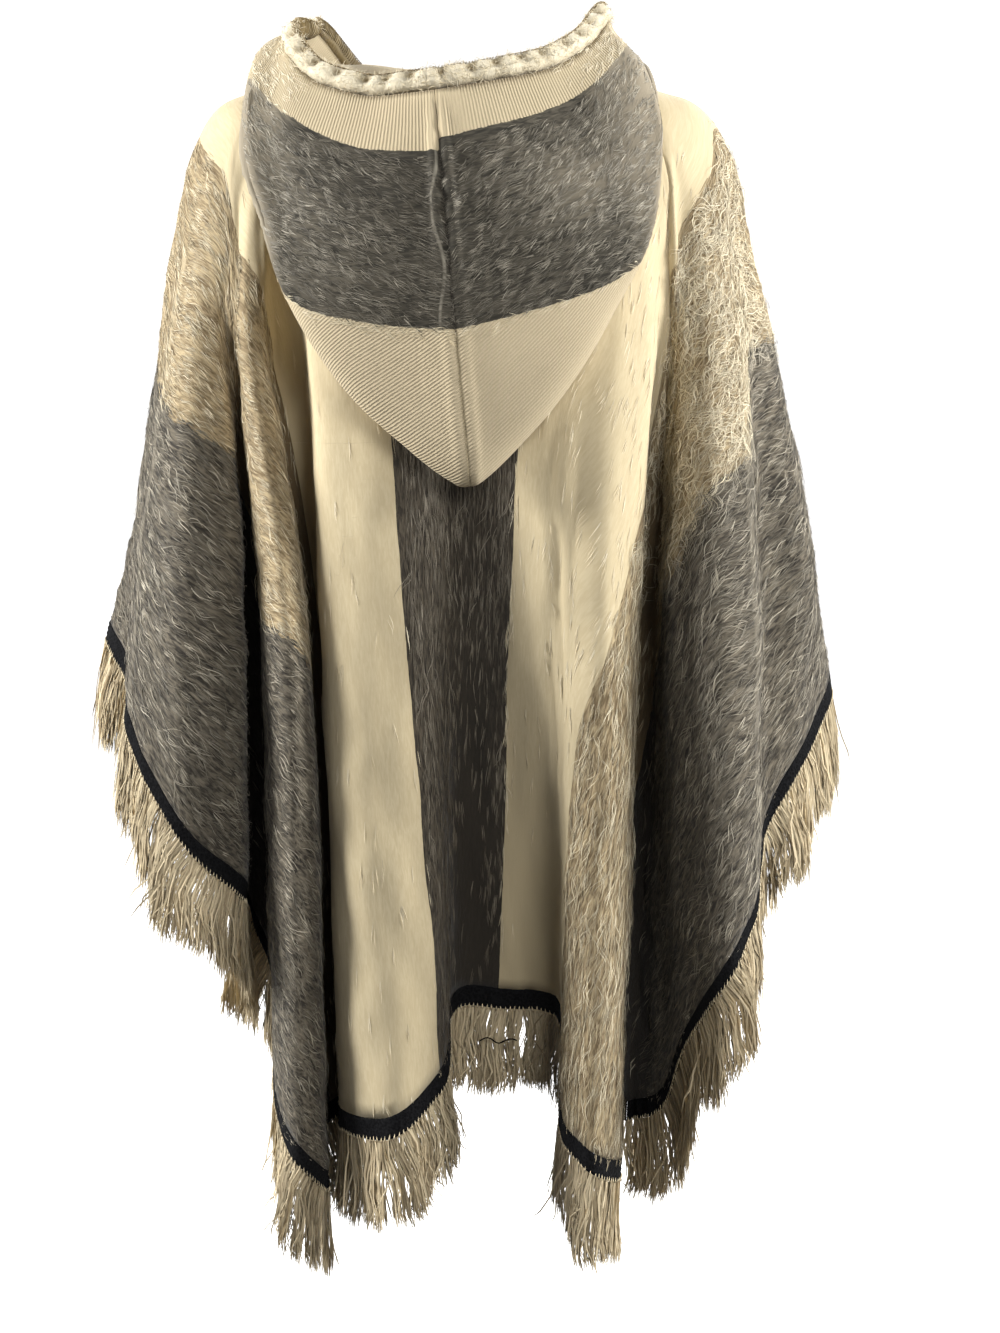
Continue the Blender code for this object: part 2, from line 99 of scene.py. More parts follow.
# Divisions of each table row round the body and of each span down it: as in the frame, and fine
FRAME_STEPS_ROUND, FRAME_ROWS = 2, (3, 2, 2, 4)
FINE_STEPS_ROUND, FINE_ROWS = 8, (27, 18, 18, 36)

# Back, from the left wrist to the right one: crests, flanks and valleys of the folds, in
# millimetres. `across` is how far the fold line lies from the middle of the flat cloth at the yoke
# and at the elbow, and `angle` where it meets the hem, in degrees from the middle of the back.
# fold line, yoke x, out, elbow x, out, hem x, out, z, across at yoke, at elbow, angle
BACK = (
    ("left_wrist", -272, 0, -297, 0, -335, 0, -500, -440, -585, -90),
    ("left_facet", -264, 22, -296, 42, -306, 68, -532, -430, -580, -84),
    ("left_arm_l", -254, 38, -281, 110, -294, 141, -564, -410, -575, -78.6),
    ("left_arm", -236, 60, -236, 176, -236, 197, -658, -405, -594, -70),
    ("left_arm_r", -219, 68, -193, 146, -196, 168, -704, -392, -566, -65.5),
    ("left_pleat_l", -208, 69, -204, 75, -202, 60, -752, -368, -560, -59),
    ("left_pleat_r", -203, 71, -184, 75, -180, 56, -800, -340, -530, -55.5),
    ("corner_l", -199, 80, -174, 152, -162, 184, -903, -301, -477, -45.8),
    ("corner", -192, 93, -152, 183, -141, 222, -930, -298, -470, -43.3),
    ("corner_r", -181, 92, -138, 158, -121, 188, -965, -285, -455, -41.3),
    ("deep_pleat_l", -168, 88, -151, 88, -146, 72, -962, -240, -360, -35),
    ("deep_pleat_r", -146, 86, -129, 84, -114, 54, -938, -190, -250, -27),
    ("cream_l", -127, 108, -118, 169, -103, 190, -910, -145, -165, -13.7),
    ("cream", -92, 122, -84, 183, -60, 233, -900, -95, -110, -9.3),
    ("cream_r", -45, 129, -36, 172, -19, 197, -868, -45, -47, -4.5),
    ("middle_l", -12, 129, -4, 146, -8, 124, -818, -12, 0, 1.4),
    ("middle", 26, 130, 28, 149, 38, 119, -820, 30, 42, 5.4),
    ("middle_r", 62, 130, 70, 172, 82, 124, -825, 68, 130, 11),
    ("tan_l", 92, 130, 94, 182, 88, 195, -915, 100, 250, 22.1),
    ("tan", 125, 127, 122, 187, 108, 229, -932, 135, 262, 25.2),
    ("tan_r", 157, 112, 149, 158, 134, 195, -952, 190, 308, 27.1),
    ("right_pleat_l", 171, 86, 151, 73, 127, 81, -944, 215, 330, 35),
    ("right_pleat_r", 180, 81, 172, 64, 150, 58, -946, 262, 400, 41.3),
    ("right_flank", 187, 81, 178, 101, 178, 96, -924, 310, 490, 59),
    ("right_arm_l", 194, 79, 180, 143, 198, 146, -848, 330, 500, 61.6),
    ("right_arm", 213, 78, 214, 179, 228, 197, -774, 350, 562, 66.7),
    ("right_arm_r", 236, 58, 250, 159, 254, 170, -726, 385, 567, 71.2),
    ("right_crease", 245, 38, 259, 110, 264, 117, -668, 463, 600, 76.7),
    ("right_facet", 258, 19, 304, 81, 299, 87, -612, 458, 605, 82),
    ("right_wrist", 269, 0, 309, 0, 341, 0, -547, 450, 615, 90),
)
BACK_CORNERS = ("corner_r", "right_pleat_r")
# Front, from the right wrist to the left one, with the same columns
FRONT = (
    ("f_right_facet", 262, -22, 300, -36, 306, -59, -575, 400, 590, 96),
    ("f_right_arm_l", 246, -40, 276, -92, 280, -126, -620, 385, 580, 101),
    ("f_right_arm", 222, -60, 236, -149, 238, -184, -690, 365, 570, 110),
    ("f_right_arm_r", 206, -69, 202, -123, 202, -151, -752, 340, 540, 117),
    ("f_right_valley_l", 199, -71, 205, -58, 208, -36, -802, 330, 520, 126),
    ("f_right_valley_r", 188, -76, 188, -60, 192, -36, -822, 310, 490, 130),
    ("f_right_corner_l", 180, -86, 175, -120, 177, -142, -862, 295, 460, 134),
    ("f_right_corner", 160, -98, 150, -159, 150, -203, -886, 280, 440, 139),
    ("f_right_corner_r", 138, -103, 122, -131, 118, -162, -872, 250, 400, 143),
    ("f_right_pleat_l", 124, -104, 111, -96, 108, -80, -850, 220, 345, 149),
    ("f_right_pleat_r", 110, -106, 95, -97, 86, -80, -843, 190, 285, 154),
    ("f_right_roll", 86, -114, 72, -154, 64, -180, -835, 140, 200, 160),
    ("f_middle_r", 48, -117, 36, -144, 36, -172, -815, 70, 105, 169),
    ("f_middle", 4, -118, 2, -131, -2, -120, -805, 0, 0, 180),
    ("f_middle_l", -44, -117, -36, -146, -34, -162, -812, -70, -105, 191),
    ("f_left_roll", -82, -114, -74, -159, -70, -197, -830, -140, -205, 200),
    ("f_left_pleat_l", -106, -106, -94, -96, -90, -80, -841, -185, -275, 206),
    ("f_left_pleat_r", -119, -104, -111, -97, -112, -80, -850, -215, -330, 211),
    ("f_left_corner_r", -134, -104, -124, -128, -120, -156, -872, -250, -390, 217),
    ("f_left_corner", -160, -99, -150, -156, -148, -197, -890, -280, -435, 221),
    ("f_left_corner_l", -182, -87, -176, -118, -176, -140, -858, -295, -460, 226),
    ("f_left_valley_r", -190, -77, -189, -60, -192, -36, -810, -310, -490, 230),
    ("f_left_valley_l", -200, -71, -205, -56, -208, -36, -790, -330, -520, 234),
    ("f_left_arm_r", -209, -70, -204, -120, -202, -148, -735, -345, -545, 243),
    ("f_left_arm", -227, -61, -238, -146, -238, -181, -665, -370, -570, 250),
    ("f_left_arm_l", -250, -41, -278, -90, -280, -123, -590, -385, -580, 259),
    ("f_left_facet", -267, -21, -303, -33, -308, -57, -535, -400, -585, 264),
)
FRONT_CORNERS = ("f_right_corner", "f_left_corner")

# Creases pressed into the cloth, on the flat cut: angle and reach (0 neck, 1 hem) of both ends,
# half width and height. A minus height is a trough.
#  angle, reach,  angle, reach,  width,  height
CREASES = (
    (-62, 0.10, -66, 0.62, 0.016, -0.0030),
    (-76, 0.22, -70, 0.70, 0.014, 0.0026),
    (-44, 0.18, -50, 0.50, 0.013, -0.0028),
    (-12, 0.48, -9, 0.92, 0.015, -0.0022),
    (-6, 0.45, -5, 0.95, 0.014, 0.0024),
    (2, 0.50, 3, 0.96, 0.012, -0.0024),
    (14, 0.42, 14, 0.80, 0.016, 0.0024),
    (22, 0.45, 21, 0.95, 0.014, -0.0020),
    (50, 0.16, 58, 0.60, 0.014, -0.0030),
    (64, 0.12, 70, 0.46, 0.018, 0.0032),
    (74, 0.30, 68, 0.78, 0.013, -0.0026),
    (82, 0.20, 78, 0.55, 0.015, 0.0022),
    (98, 0.16, 104, 0.60, 0.016, -0.0030),
    (112, 0.14, 118, 0.55, 0.015, 0.0028),
    (126, 0.20, 131, 0.62, 0.014, -0.0026),
    (146, 0.18, 151, 0.70, 0.016, 0.0026),
    (160, 0.22, 163, 0.74, 0.015, -0.0028),
    (176, 0.16, 175, 0.66, 0.018, 0.0026),
    (194, 0.24, 190, 0.80, 0.016, -0.0028),
    (207, 0.18, 204, 0.62, 0.014, 0.0026),
    (228, 0.16, 224, 0.64, 0.016, -0.0030),
    (243, 0.14, 238, 0.58, 0.015, 0.0028),
    (258, 0.18, 254, 0.60, 0.015, -0.0026),
)
# Hollows of the folds, which carry painted shade: passes that even out the cloth to find them,
# the depth at which one begins, and how much deeper it counts in full
HOLLOW_PASSES, HOLLOW_FROM, HOLLOW_DEPTH = 160, 0.003, 0.018
# Fold lines pressed sharp, with a painted highlight along each and painted shade beside it:
# fold line, and the reach (0 neck, 1 hem) between which it shows
RIDGES = (("left_arm_l", 0.38, 1.01), ("right_arm_r", 0.26, 1.01))
CREASE_WANDER = 0.006       # how far a crease strays to each side of its line
SMOOTH_YOKE = 0.20          # down to here the yoke lies smooth under the hood
# Small hollows and swellings all over the cloth: waves per metre across and along, phase, height
COCKLE = (
    (9, 4, 0.3, 0.0007), (-7, 6, 1.9, 0.0007), (15, 3, 4.0, 0.0005), (5, 13, 2.2, 0.0004),
    (-17, 8, 0.9, 0.0004), (24, -6, 5.1, 0.0003), (11, 19, 3.3, 0.0003), (-29, 12, 1.2, 0.0002),
)

# Hood, thrown back as an open pouch. Each row is one section from the rim, down the outer face,
# round the bottom fold and up the inner face to the neck seam, in millimetres. `turn` is where it
# meets the seam, in degrees from the middle of the back.
# turn, rim x, out, z, fold x, out, z, outer bulge, inner bulge, fold radius
HOOD_LEFT = (
    (0, -24, 126, -14, 6, 186, -345, 34, 12, 10),
    (26, -78, 112, -18, -83, 176, -280, 34, 12, 11),
    (50, -122, 80, -10, -134, 156, -205, 32, 12, 13),
    (74, -150, 30, 36, -160, 126, -128, 22, 10, 13),
    (98, -142, -22, 58, -164, 78, -32, 9, 6, 12),
    (122, -122, -68, 38, -154, 0, 12, 5, 4, 10),
    (146, -86, -108, -8, -124, -86, -24, 6, 2, 8),
    (166, -42, -136, -42, -70, -136, -60, 3, 1, 6),
    (178, -10, -146, -74, -22, -150, -86, 1, 0, 4),
)
HOOD_RIGHT = (
    (0, -24, 126, -14, 6, 186, -345, 34, 12, 10),
    (26, 30, 114, -4, 72, 176, -280, 34, 12, 11),
    (50, 78, 92, 9, 120, 156, -205, 32, 12, 13),
    (74, 112, 56, 34, 152, 128, -124, 20, 10, 13),
    (98, 128, 4, 60, 151, 78, -30, 6, 6, 12),
    (122, 116, -50, 34, 142, 4, 12, 4, 4, 10),
    (146, 82, -104, -6, 122, -84, -24, 6, 2, 9),
    (166, 42, -136, -44, 68, -136, -60, 3, 1, 6),
    (178, 10, -146, -74, 22, -150, -86, 1, 0, 4),
)
HOOD_STEPS_ROUND, HOOD_ROWS = 2, (2, 2, 1, 1, 2, 3)     # divisions, as in the frame
HOOD_LAP, LAP_OUT, LAP_UP = 0.0038, 0.5, 0.87   # how far the seam stands off, and which way
HOOD_CLEARANCE = ((0, 4, 6, 11), (0.024, 0.014, 0.0065, 0.0048))    # by row, off the body's middle
CHEST = Vector((0, 0, -0.13))       # the body is seen from here as the hood is laid on it
MOST_SLANT, REST_PASSES = 0.45, 3
FINE_HOOD_ROUND, FINE_HOOD_DOWN = 6, 8
FINE_HOOD_SEAM = 24                 # divisions of the first span, where the panel is gathered
TIP_ROUND, TIP_SLOPE, TIP_REACH = 0.012, 0.75, 0.050        # how the lower tip is blunted
SEWN_REACH, SEWN_SHARE = 0.025, 0.85        # how the inner face is drawn down to the neck edge
HOOD_SIDE, SIDE_FADE = 0.11, 0.07       # from here out the hood turns in towards the front
NAP_DOWN_TO, NAP_FADE = 0.42, 0.05      # only the outer face is brushed
BAND_FADE, STRAY_NAP = 0.004, 0.6       # the nap ends at the charcoal's edge, but for the sides
# Paler and darker patches of its nap, painted sheen and painted shade: place on the panels,
# half width and height, how much
HOOD_PATCHES = (
    (0.090, 0.110, 0.045, 0.040, 0.42),
    (0.050, 0.150, 0.030, 0.025, -0.10),
    (0.105, 0.178, 0.040, 0.018, -0.16),
    (-0.070, 0.165, 0.045, 0.030, 0.10),
    (-0.050, 0.085, 0.040, 0.020, -0.12),
    (-0.100, 0.105, 0.022, 0.030, 0.14),
)
# How its middle seam is gathered: the roll beside the seam, and the stretch that is gathered most
SEAM_ROLL, SEAM_ROLL_WIDTH = 0.0045, 0.0028
GATHER_PLACE, GATHER_LENGTH, RIPPLE = 0.095, 0.055, 0.021
HOOD_COCKLE = ((5, 3, 1.0, 0.0011), (-8, 5, 2.1, 0.0008), (13, -4, 0.4, 0.0005))    # as COCKLE
# The hood's charcoal stripe: millimetres from the rim to its upper and lower lines
# turn, left upper, left lower, right upper, right lower
BAND = (
    (0, 58, 215, 47, 215),
    (26, 53, 205, 42, 210),
    (50, 43, 206, 35, 204),
    (74, 62, 212, 31, 203),
    (98, 105, 214, 35, 200),
    (122, 130, 216, 50, 205),
    (146, 140, 220, 70, 210),
    (178, 140, 220, 90, 220),
)

# Brushed nap: how hair lies in each part, lengths in metres, angles in radians
# piece, paleness, hairs, length, width, lift, fall, spread, curl, points of a hair, hairs in a tuft
NAPS = (
    ("nap_back_left", 0.0, 26000, (0.008, 0.017), (0.00034, 0.00068), (0.0002, 0.0012),
     0.10, 0.14, 0.06, 3, 4),
    ("nap_back_middle", 0.0, 10500, (0.010, 0.020), (0.00034, 0.00057), (0.0002, 0.0009),
     0.10, 0.10, 0.06, 3, 4),
    ("nap_back_right", 0.0, 26000, (0.008, 0.018), (0.00034, 0.00068), (0.0002, 0.0014),
     0.10, 0.16, 0.10, 3, 4),
    ("nap_front", 0.0, 16000, (0.010, 0.020), (0.0005, 0.0010), (0.0002, 0.0012),
     0.10, 0.16, 0.10, 3, 4),
    ("long_hairs", 0.5, 6000, (0.012, 0.028), (0.0003, 0.00055), (0.0008, 0.0034),
     0.15, 0.22, 0.35, 6, 2),
    ("curly_hairs", 0.6, 3200, (0.014, 0.032), (0.0003, 0.0006), (0.0010, 0.0040),
     0.15, 0.34, 0.85, 7, 3),
)
HOOD_NAP = (13500, (0.006, 0.014), (0.00028, 0.00048), (0.0002, 0.0012), 0.0, 0.22, 0.12, 3, 4)
TUFT_SPREAD = (0.09, 0.22)      # of the hairs in a tuft, in columns and rows of the fine grid
OWN_SLANT, OWN_PHASE = 0.4, 0.25        # how far a hair leaves its tuft's way, and its curl
CURLS, CURL_TURN = (0.6, 1.5), 4.5      # how strongly tufts curl, and over what angle
HAIR_RISE = (0.12, 0.7)         # where a hair's arch over the cloth begins and how far it goes
HAIR_TILT = 0.6
HAIR_TAPER = ((0, 0.5, 1), (0.7, 1.0, 0.25))        # places along a hair, and widths there
HAIR_SHADE = ((0, 0.4, 1), (0.78, 1.0, 1.08))       # and how light it is there
HAIR_PALENESS = (0.7, 2.2)      # shape of the spread from a yarn's nap to its loose hair
EVEN_YARN, EVEN_PALENESS = 0.1, 0.20        # a yarn as even as the cream shows its paler hairs
NAP_PARTS = 0.28                # the nap behind is three pieces, divided this far from the middle
# How thickly the nap is laid: on grey and tan, on charcoal, on the cream of the right shoulder,
# and on the rest of the cream; and how much of it the hollows lose, as painted shade
NAP_WEIGHTS, CREAM_WEIGHT, HOLLOW_LOSS = (1.5, 1.2, 0.12), 0.03, 0.92
# The same for the long hairs: on the right and the left of the back, on charcoal, and on cream
LONG_WEIGHTS, LONG_ON_CREAM = (2.0, 0.7, 0.8), 0.15
EDGE_ROOM, LONG_ROOM = 0.004, 0.02      # how far above the edging the short and long hairs end
# Long hairs stand thickest on the fold crests and sharp folds, partly real loose hair and partly a
# painted highlight there
CREST_HEIGHT, RIDGE_WIDTH = 0.02, 0.006         # where long hairs stand thickest
CURLY_TO, CURLY_ABOVE, CURLY_FADE = 0.49, -0.45, 0.1    # curly hairs: across, and up from where
BARE_YOKE, YOKE_FADE = 0.13, 0.06       # the yoke has no nap where the hood hides it

# The rolled rim
RIM_HEIGHT, RIM_DEPTH = 0.020, 0.015
RIM_GAP = 0.0014
RIM_END = 0.006         # the roll stops this far short of where its edges meet in front
PUFF_LENGTH, PINCH_STRAY = 0.024, 0.0022        # between the stitches that pinch the roll
PINCH_LEVEL = (0.35, 0.10)      # middle and spread of their place, in half heights of the roll
PINCH_WIDTH, PINCH_HEIGHT, PINCH_DEPTH = 0.0046, 0.45, 0.0040
RIM_SIDES, RIM_STEP, RIM_HAIRS = 20, 0.0017, 5500
OVERCAST_PITCH, OVERCAST_STEPS = 0.0027, 8      # the thread that whips the rim
OVERCAST_REACH, OVERCAST_BEHIND = (0.62, 1.0), 2.1      # outer and inner end, in radians from top
OVERCAST_LEAN = 1.3             # how far one end lies past the other, in pitches
THREAD_RADIUS, THREAD_LIFT = 0.00055, 0.0003
FUZZ_LENGTH, FUZZ_WIDTH, FUZZ_LIFT = (0.004, 0.009), 0.00020, 0.35
FUZZ_POINTS, FUZZ_TAPER = 4, (0.8, 1.0, 0.8, 0.3)

# Crochet edging, its overcast stitches, and the fringe knotted into it
LOOP_LENGTH, LOOP_HEIGHT, LOOP_ROWS = 0.0042, 0.0009, 4
LOOP_FULLNESS = 0.7             # below 1, a loop is fuller than a plain wave
STITCH_HEIGHT, STITCH_LEAN = (0.0028, 0.0044), (-0.0006, 0.0012)
STITCH_FOOT = (0.0012, 0.0011)      # below the edge, and to each side
EDGING_ROWS, EDGING_STEP = 9, 0.0021
STITCH_PITCH, KNOT_PITCH = 0.0042, 0.0055
STRANDS = 24                    # for each knot
LOCK_WIDTH = 0.019              # knots this near fall together
FRINGE_DEPTH, FRINGE_STEPS = 0.0045, 6
STRAND_RADIUS = (0.00045, 0.00080)
STRAY_SHARE = 0.12              # of the strands, that swing wide of their lock
DRIFT, LOCK_SWAY = (0.34, 0.09), 0.10       # sideways: stray strands, the others, whole locks
LOCK_LENGTH, OWN_LENGTH = (0.92, 1.14), (0.88, 1.04)
GATHER = (0.05, 0.45)           # how strongly strands are drawn to the middle of their lock
STRAND_TAPER = ((0, 0.3, 0.85, 1), (1.0, 1.0, 0.95, 0.55))
STRAY_REACH = 0.014             # how far a stray strand may swing past the garment's box
WAVE = 0.26                     # how strongly a strand is crimped
# Dark thread end that lies in the fringe: near what, how far from it, how long, radius
THREAD_PLACE, THREAD_DROP = (0.010, -0.122, -0.820), (0, -0.010, -0.030)
THREAD_RUN, THREAD_END_RADIUS, THREAD_POINTS = (0.033, 0, 0), 0.0008, 12

# Setting
FLOOR_Z = -1.42
FLOOR_RADIUS = 4.0
FLOOR_CURVE = ((1.12, 0.05), (1.09, 0.20), (1.06, 0.45), (1.03, 0.80), (1.01, 1.20), (1.0, 2.2))
CAMERA_AIM = (0.0315, -0.08, -0.514)
CAMERA_PLACE = (0.0315, -2.0605, -0.2357)
LENS = 60.01
WORLD_LIGHT = 0.055
PAPER_GLOW = 0.8
# name, size, power, place, aim
LIGHTS = (
    ("right_key", 0.9, 106, (2.4, -0.35, 0.5), (0, 0, -0.4)),
    ("left_key", 0.9, 132, (-2.4, -0.35, 0.5), (0, 0, -0.4)),
    ("front", 1.3, 46, (1.0, -2.5, 0.9), (0, 0, -0.4)),
    ("back", 2.0, 105, (0.6, 2.8, 1.8), (0, 0, -0.4)),
)


# ---------------------------------------------------------------- the garment's surfaces


def spline(points, steps, closed=False):
    """A smooth line through `points`; `steps` is the number of parts in each span."""
    points = np.asarray(points, float)
    count = len(points)
    ring = np.arange(count + (1 if closed else 0)) % count
    spans = len(ring) - 1
    steps = [steps] * spans if np.isscalar(steps) else list(steps)
    chord = np.sqrt(np.linalg.norm(np.diff(points[ring], axis=0), axis=1)) + 1e-6
    tangent = np.zeros_like(points)
    for i in range(count):
        if not closed and i in (0, count - 1):
            near = 0 if i == 0 else spans - 1
            tangent[i] = (points[near + 1] - points[near]) / chord[near]
            continue
        before, after = chord[(i - 1) % spans], chord[i % spans]
        back, ahead = points[i] - points[i - 1], points[(i + 1) % count] - points[i]
        tangent[i] = back / before - (back + ahead) / (before + after) + ahead / after
    line = []
    for span in range(spans):
        a, b = ring[span], ring[span + 1]
        t = (np.arange(steps[span]) / steps[span])[:, None]
        line.append(
            (2 * t**3 - 3 * t**2 + 1) * points[a]
            + (t**3 - 2 * t**2 + t) * chord[span] * tangent[a]
            + (3 * t**2 - 2 * t**3) * points[b]
            + (t**3 - t**2) * chord[span] * tangent[b]
        )
    if not closed:
        line.append(points[-1:])
    return np.concatenate(line)


def neck_point(turn):
    """A point of the neck seam; `turn` is in radians, 0 behind, half a circle in front."""
    across, along = math.sin(turn), math.cos(turn)
    out = along * (NECK_BACK if along > 0 else NECK_FRONT)
    drop = NECK_FRONT_DROP * abs(along) ** 2.5 if along < 0 else 0.0
    return np.array((NECK_HALF_WIDTH * across, -out, NECK_SIDE_RISE * across**2 - drop))


def shoulder_point(turn):
    """A point of the ring where the cloth turns down over the shoulders."""
    across, along = math.sin(turn), math.cos(turn)
    out = along * (SHOULDER_BACK if along > 0 else SHOULDER_FRONT)
    drop = SHOULDER_BACK_DROP if along > 0 else SHOULDER_FRONT_DROP
    z = -SHOULDER_SIDE_DROP * across**2 - drop * along**2
    half = SHOULDER_HALF_WIDTH * (SHOULDER_RIGHT_SHARE if across > 0 else 1.0)
    return np.array((half * across, -out, z))


def fold_points(row):
    """The five points of one fold line, from the neck seam down to the hem."""
    yoke_x, yoke_out, elbow_x, elbow_out, hem_x, hem_out, hem_z = (v / 1000 for v in row[1:8])
    depth = SHOULDER_BACK if yoke_out > 0 else SHOULDER_FRONT
    turn = math.atan2(yoke_x / SHOULDER_HALF_WIDTH, yoke_out / depth)
    elbow_z = max(ELBOW_Z, YOKE_Z + ELBOW_SHARE * (hem_z - YOKE_Z))
    return np.array((
        neck_point(turn),
        shoulder_point(turn),
        (yoke_x, -yoke_out, YOKE_Z),
        (elbow_x, -elbow_out, elbow_z),
        (hem_x, -hem_out, hem_z),
    ))


def body_grid(steps_round, rows):
    """Rows from neck to hem, columns round the body from the left wrist over the back."""
    lines = np.array([fold_points(row) for row in BACK + FRONT])
    rings = [spline(lines[:, level], steps_round, closed=True) for level in range(lines.shape[1])]
    columns = [spline(line, rows) for line in np.swapaxes(np.array(rings), 0, 1)]
    return np.swapaxes(np.array(columns), 0, 1)


def bell(away, width):
    """1 in the middle, and falling softly to 0 a width or two away."""
    return np.exp(-((away / width) ** 2))


def fine_column(name):
    """The column of the fine grid that a fold line runs down."""
    names = [row[0] for row in BACK + FRONT]
    return names.index(name) * FINE_STEPS_ROUND


def lengths_down(grid):
    """How far each point of a grid is from the top of its column."""
    steps = np.linalg.norm(np.diff(grid, axis=0), axis=2)
    return np.concatenate((np.zeros((1, grid.shape[1])), np.cumsum(steps, axis=0)))


def run_of(line):
    """How far each point of a line is from its first."""
    return lengths_down(line[:, None])[:, 0]


def between(places, known, values):
    """Values that are known at some places of a line, at other places of it."""
    return np.stack([np.interp(places, known, column) for column in values.T], axis=1)


def at_lengths(values, own, lengths):
    """Values at new lengths down every column; `own` are the lengths at which they are known."""
    columns = range(values.shape[1])
    return np.stack([between(lengths[:, c], own[:, c], values[:, c]) for c in columns], axis=1)


def facing(grid, closed):
    """Unit directions square to the cloth, away from the body."""
    if closed:
        across = np.roll(grid, -1, axis=1) - np.roll(grid, 1, axis=1)
    else:
        across = np.gradient(grid, axis=1)
    normal = np.cross(across, np.gradient(grid, axis=0))
    return -normal / np.linalg.norm(normal, axis=2, keepdims=True)


INSIDE = 1.001      # keeps a place just before the last row or column


class Surface:
    """A fine grid of points, the way each faces, and its place on the flat cut in metres."""

    def __init__(self, points, flat, closed):
        self.points, self.flat, self.closed = points, flat, closed
        self.normal = facing(points, closed)
        self.room = np.full(points.shape[:2], 1.0)      # how far the nap may run down from here

    def raise_by(self, heights):
        """Moves each point off the cloth, along the way it faces."""
        self.points = self.points + self.normal * heights[..., None]
        self.normal = facing(self.points, self.closed)

    def look_up(self, values, column, row):
        """Values between the points of the grid, at fractional columns and rows."""
        rows, columns = values.shape[:2]
        row = np.clip(row, 0, rows - INSIDE)
        column = column % columns if self.closed else np.clip(column, 0, columns - INSIDE)
        r, c = np.floor(row).astype(int), np.floor(column).astype(int) % columns
        after = (c + 1) % columns if self.closed else c + 1
        v, u = (row - r)[:, None], (column - np.floor(column))[:, None]
        above = values[r, c] * (1 - u) + values[r, after] * u
        below = values[r + 1, c] * (1 - u) + values[r + 1, after] * u
        return above * (1 - v) + below * v


def cut_place(angle, reach):
    """A place on the flat cut: across from its middle, and back from the shoulder fold."""
    across, along = np.sin(np.radians(angle)), np.cos(np.radians(angle))
    to_side = CUT_HALF_WIDTH / np.maximum(abs(across), 1e-6)
    to_end = CUT_HALF_LENGTH / np.maximum(abs(along), 1e-6)
    edge = np.minimum(to_side, to_end)
    far = CUT_NECK + reach * (edge - CUT_NECK)
    return np.stack((far * across, far * along), axis=-1)


def softened(values):
    """Values evened out a little from column to column, round the body."""
    return (np.roll(values, 1, axis=1) + 2 * values + np.roll(values, -1, axis=1)) / 4


def round_the_body(values, columns):
    """One value for every fine column, from one for every fold line; softened."""
    station = np.arange(columns) / FINE_STEPS_ROUND
    values = np.interp(station, np.arange(len(values) + 1), [*values, values[0]])[None]
    for _ in range(3):
        values = softened(values)
    return values[0]


def flat_cut(grid):
    """The place of every point of the body on the flat cloth: across it, and back from the fold."""
    columns = grid.shape[1]
    table = BACK + FRONT
    down = lengths_down(grid)
    reach = down / down[-1]
    yoke, elbow = np.cumsum(FINE_ROWS)[1:3]
    yoke_across, elbow_across = (
        round_the_body([row[place] / 1000 for row in table], columns) for place in (8, 9)
    )
    hem = [cut_place(row[10], 1.0) for row in table]
    hem = np.stack([round_the_body(values, columns) for values in zip(*hem)], axis=-1)
    across = np.empty_like(reach)
    for c in range(columns):
        across[:, c] = np.interp(
            reach[:, c], (0, reach[yoke, c], reach[elbow, c], 1),
            (grid[0, c, 0], yoke_across[c], elbow_across[c], hem[c, 0]),
        )
    for _ in range(DOWN_PASSES):
        across[1:-1] = (across[:-2] + 2 * across[1:-1] + across[2:]) / 4
    upper = np.clip(2 - 2 * np.arange(len(across)) / yoke, 0, 1)[:, None]
    for _ in range(SHOULDER_PASSES):        # the stripes run evenly over the shoulders
        across = across * (1 - upper) + softened(across) * upper
    step, sideways = np.diff(down, axis=0), np.diff(across, axis=0)
    forward = np.sqrt(np.maximum(step**2 - sideways**2, (LEAST_FORWARD * step) ** 2))
    share = np.concatenate((np.zeros((1, columns)), np.cumsum(forward, axis=0)))
    share /= share[-1]
    neck = -grid[0, :, 1]
    return np.stack((across, neck + (hem[:, 1] - neck) * share), axis=-1)


def creased(flat):
    """Height of the pressed creases and of the cockle at places on the flat cloth."""
    height = np.zeros(flat.shape[:-1])
    for start_angle, start_reach, end_angle, end_reach, width, tall in CREASES:
        start, end = cut_place(start_angle, start_reach), cut_place(end_angle, end_reach)
        run = end - start
        share = np.clip(((flat - start) @ run) / (run @ run), 0, 1)
        away = flat - start - share[..., None] * run
        wander = CREASE_WANDER * np.sin(23 * share + 5 * tall / 0.001)
        side = (away @ np.array((run[1], -run[0]))) / np.linalg.norm(run) - wander
        past = np.linalg.norm(away, axis=-1) ** 2 - (side + wander) ** 2
        gone = np.exp(-(side**2 + np.maximum(past, 0)) / width**2)
        height += tall * gone * np.sin(np.pi * np.clip(share, 0.02, 0.98)) ** 0.6
    for across, along, phase, tall in COCKLE:
        wave = 2 * np.pi * (across * flat[..., 0] + along * flat[..., 1]) + phase
        height += tall * np.sin(wave + 1.3 * np.sin(wave * 0.37 + phase))
    return height


def body_surface():
    """The cloth and its edging as one surface, creased."""
    grid = body_grid(FINE_STEPS_ROUND, FINE_ROWS)
    surface = Surface(grid, flat_cut(grid), closed=True)
    surface.raise_by(creased(surface.flat) * np.clip(lengths_down(grid) / SMOOTH_YOKE, 0, 1))
    return surface


def fold_depth(points):
    """How deep in a fold each point of the body lies, in metres; less than 0 on the crests."""
    smooth = points
    for _ in range(HOLLOW_PASSES):
        smooth = softened(smooth)
    return ((smooth - points) * facing(smooth, True)).sum(axis=2)


def hollows(points):
    """How much each point lies in a hollow, from 0 to 1."""
    return np.clip((fold_depth(points) - HOLLOW_FROM) / HOLLOW_DEPTH, 0, 1)


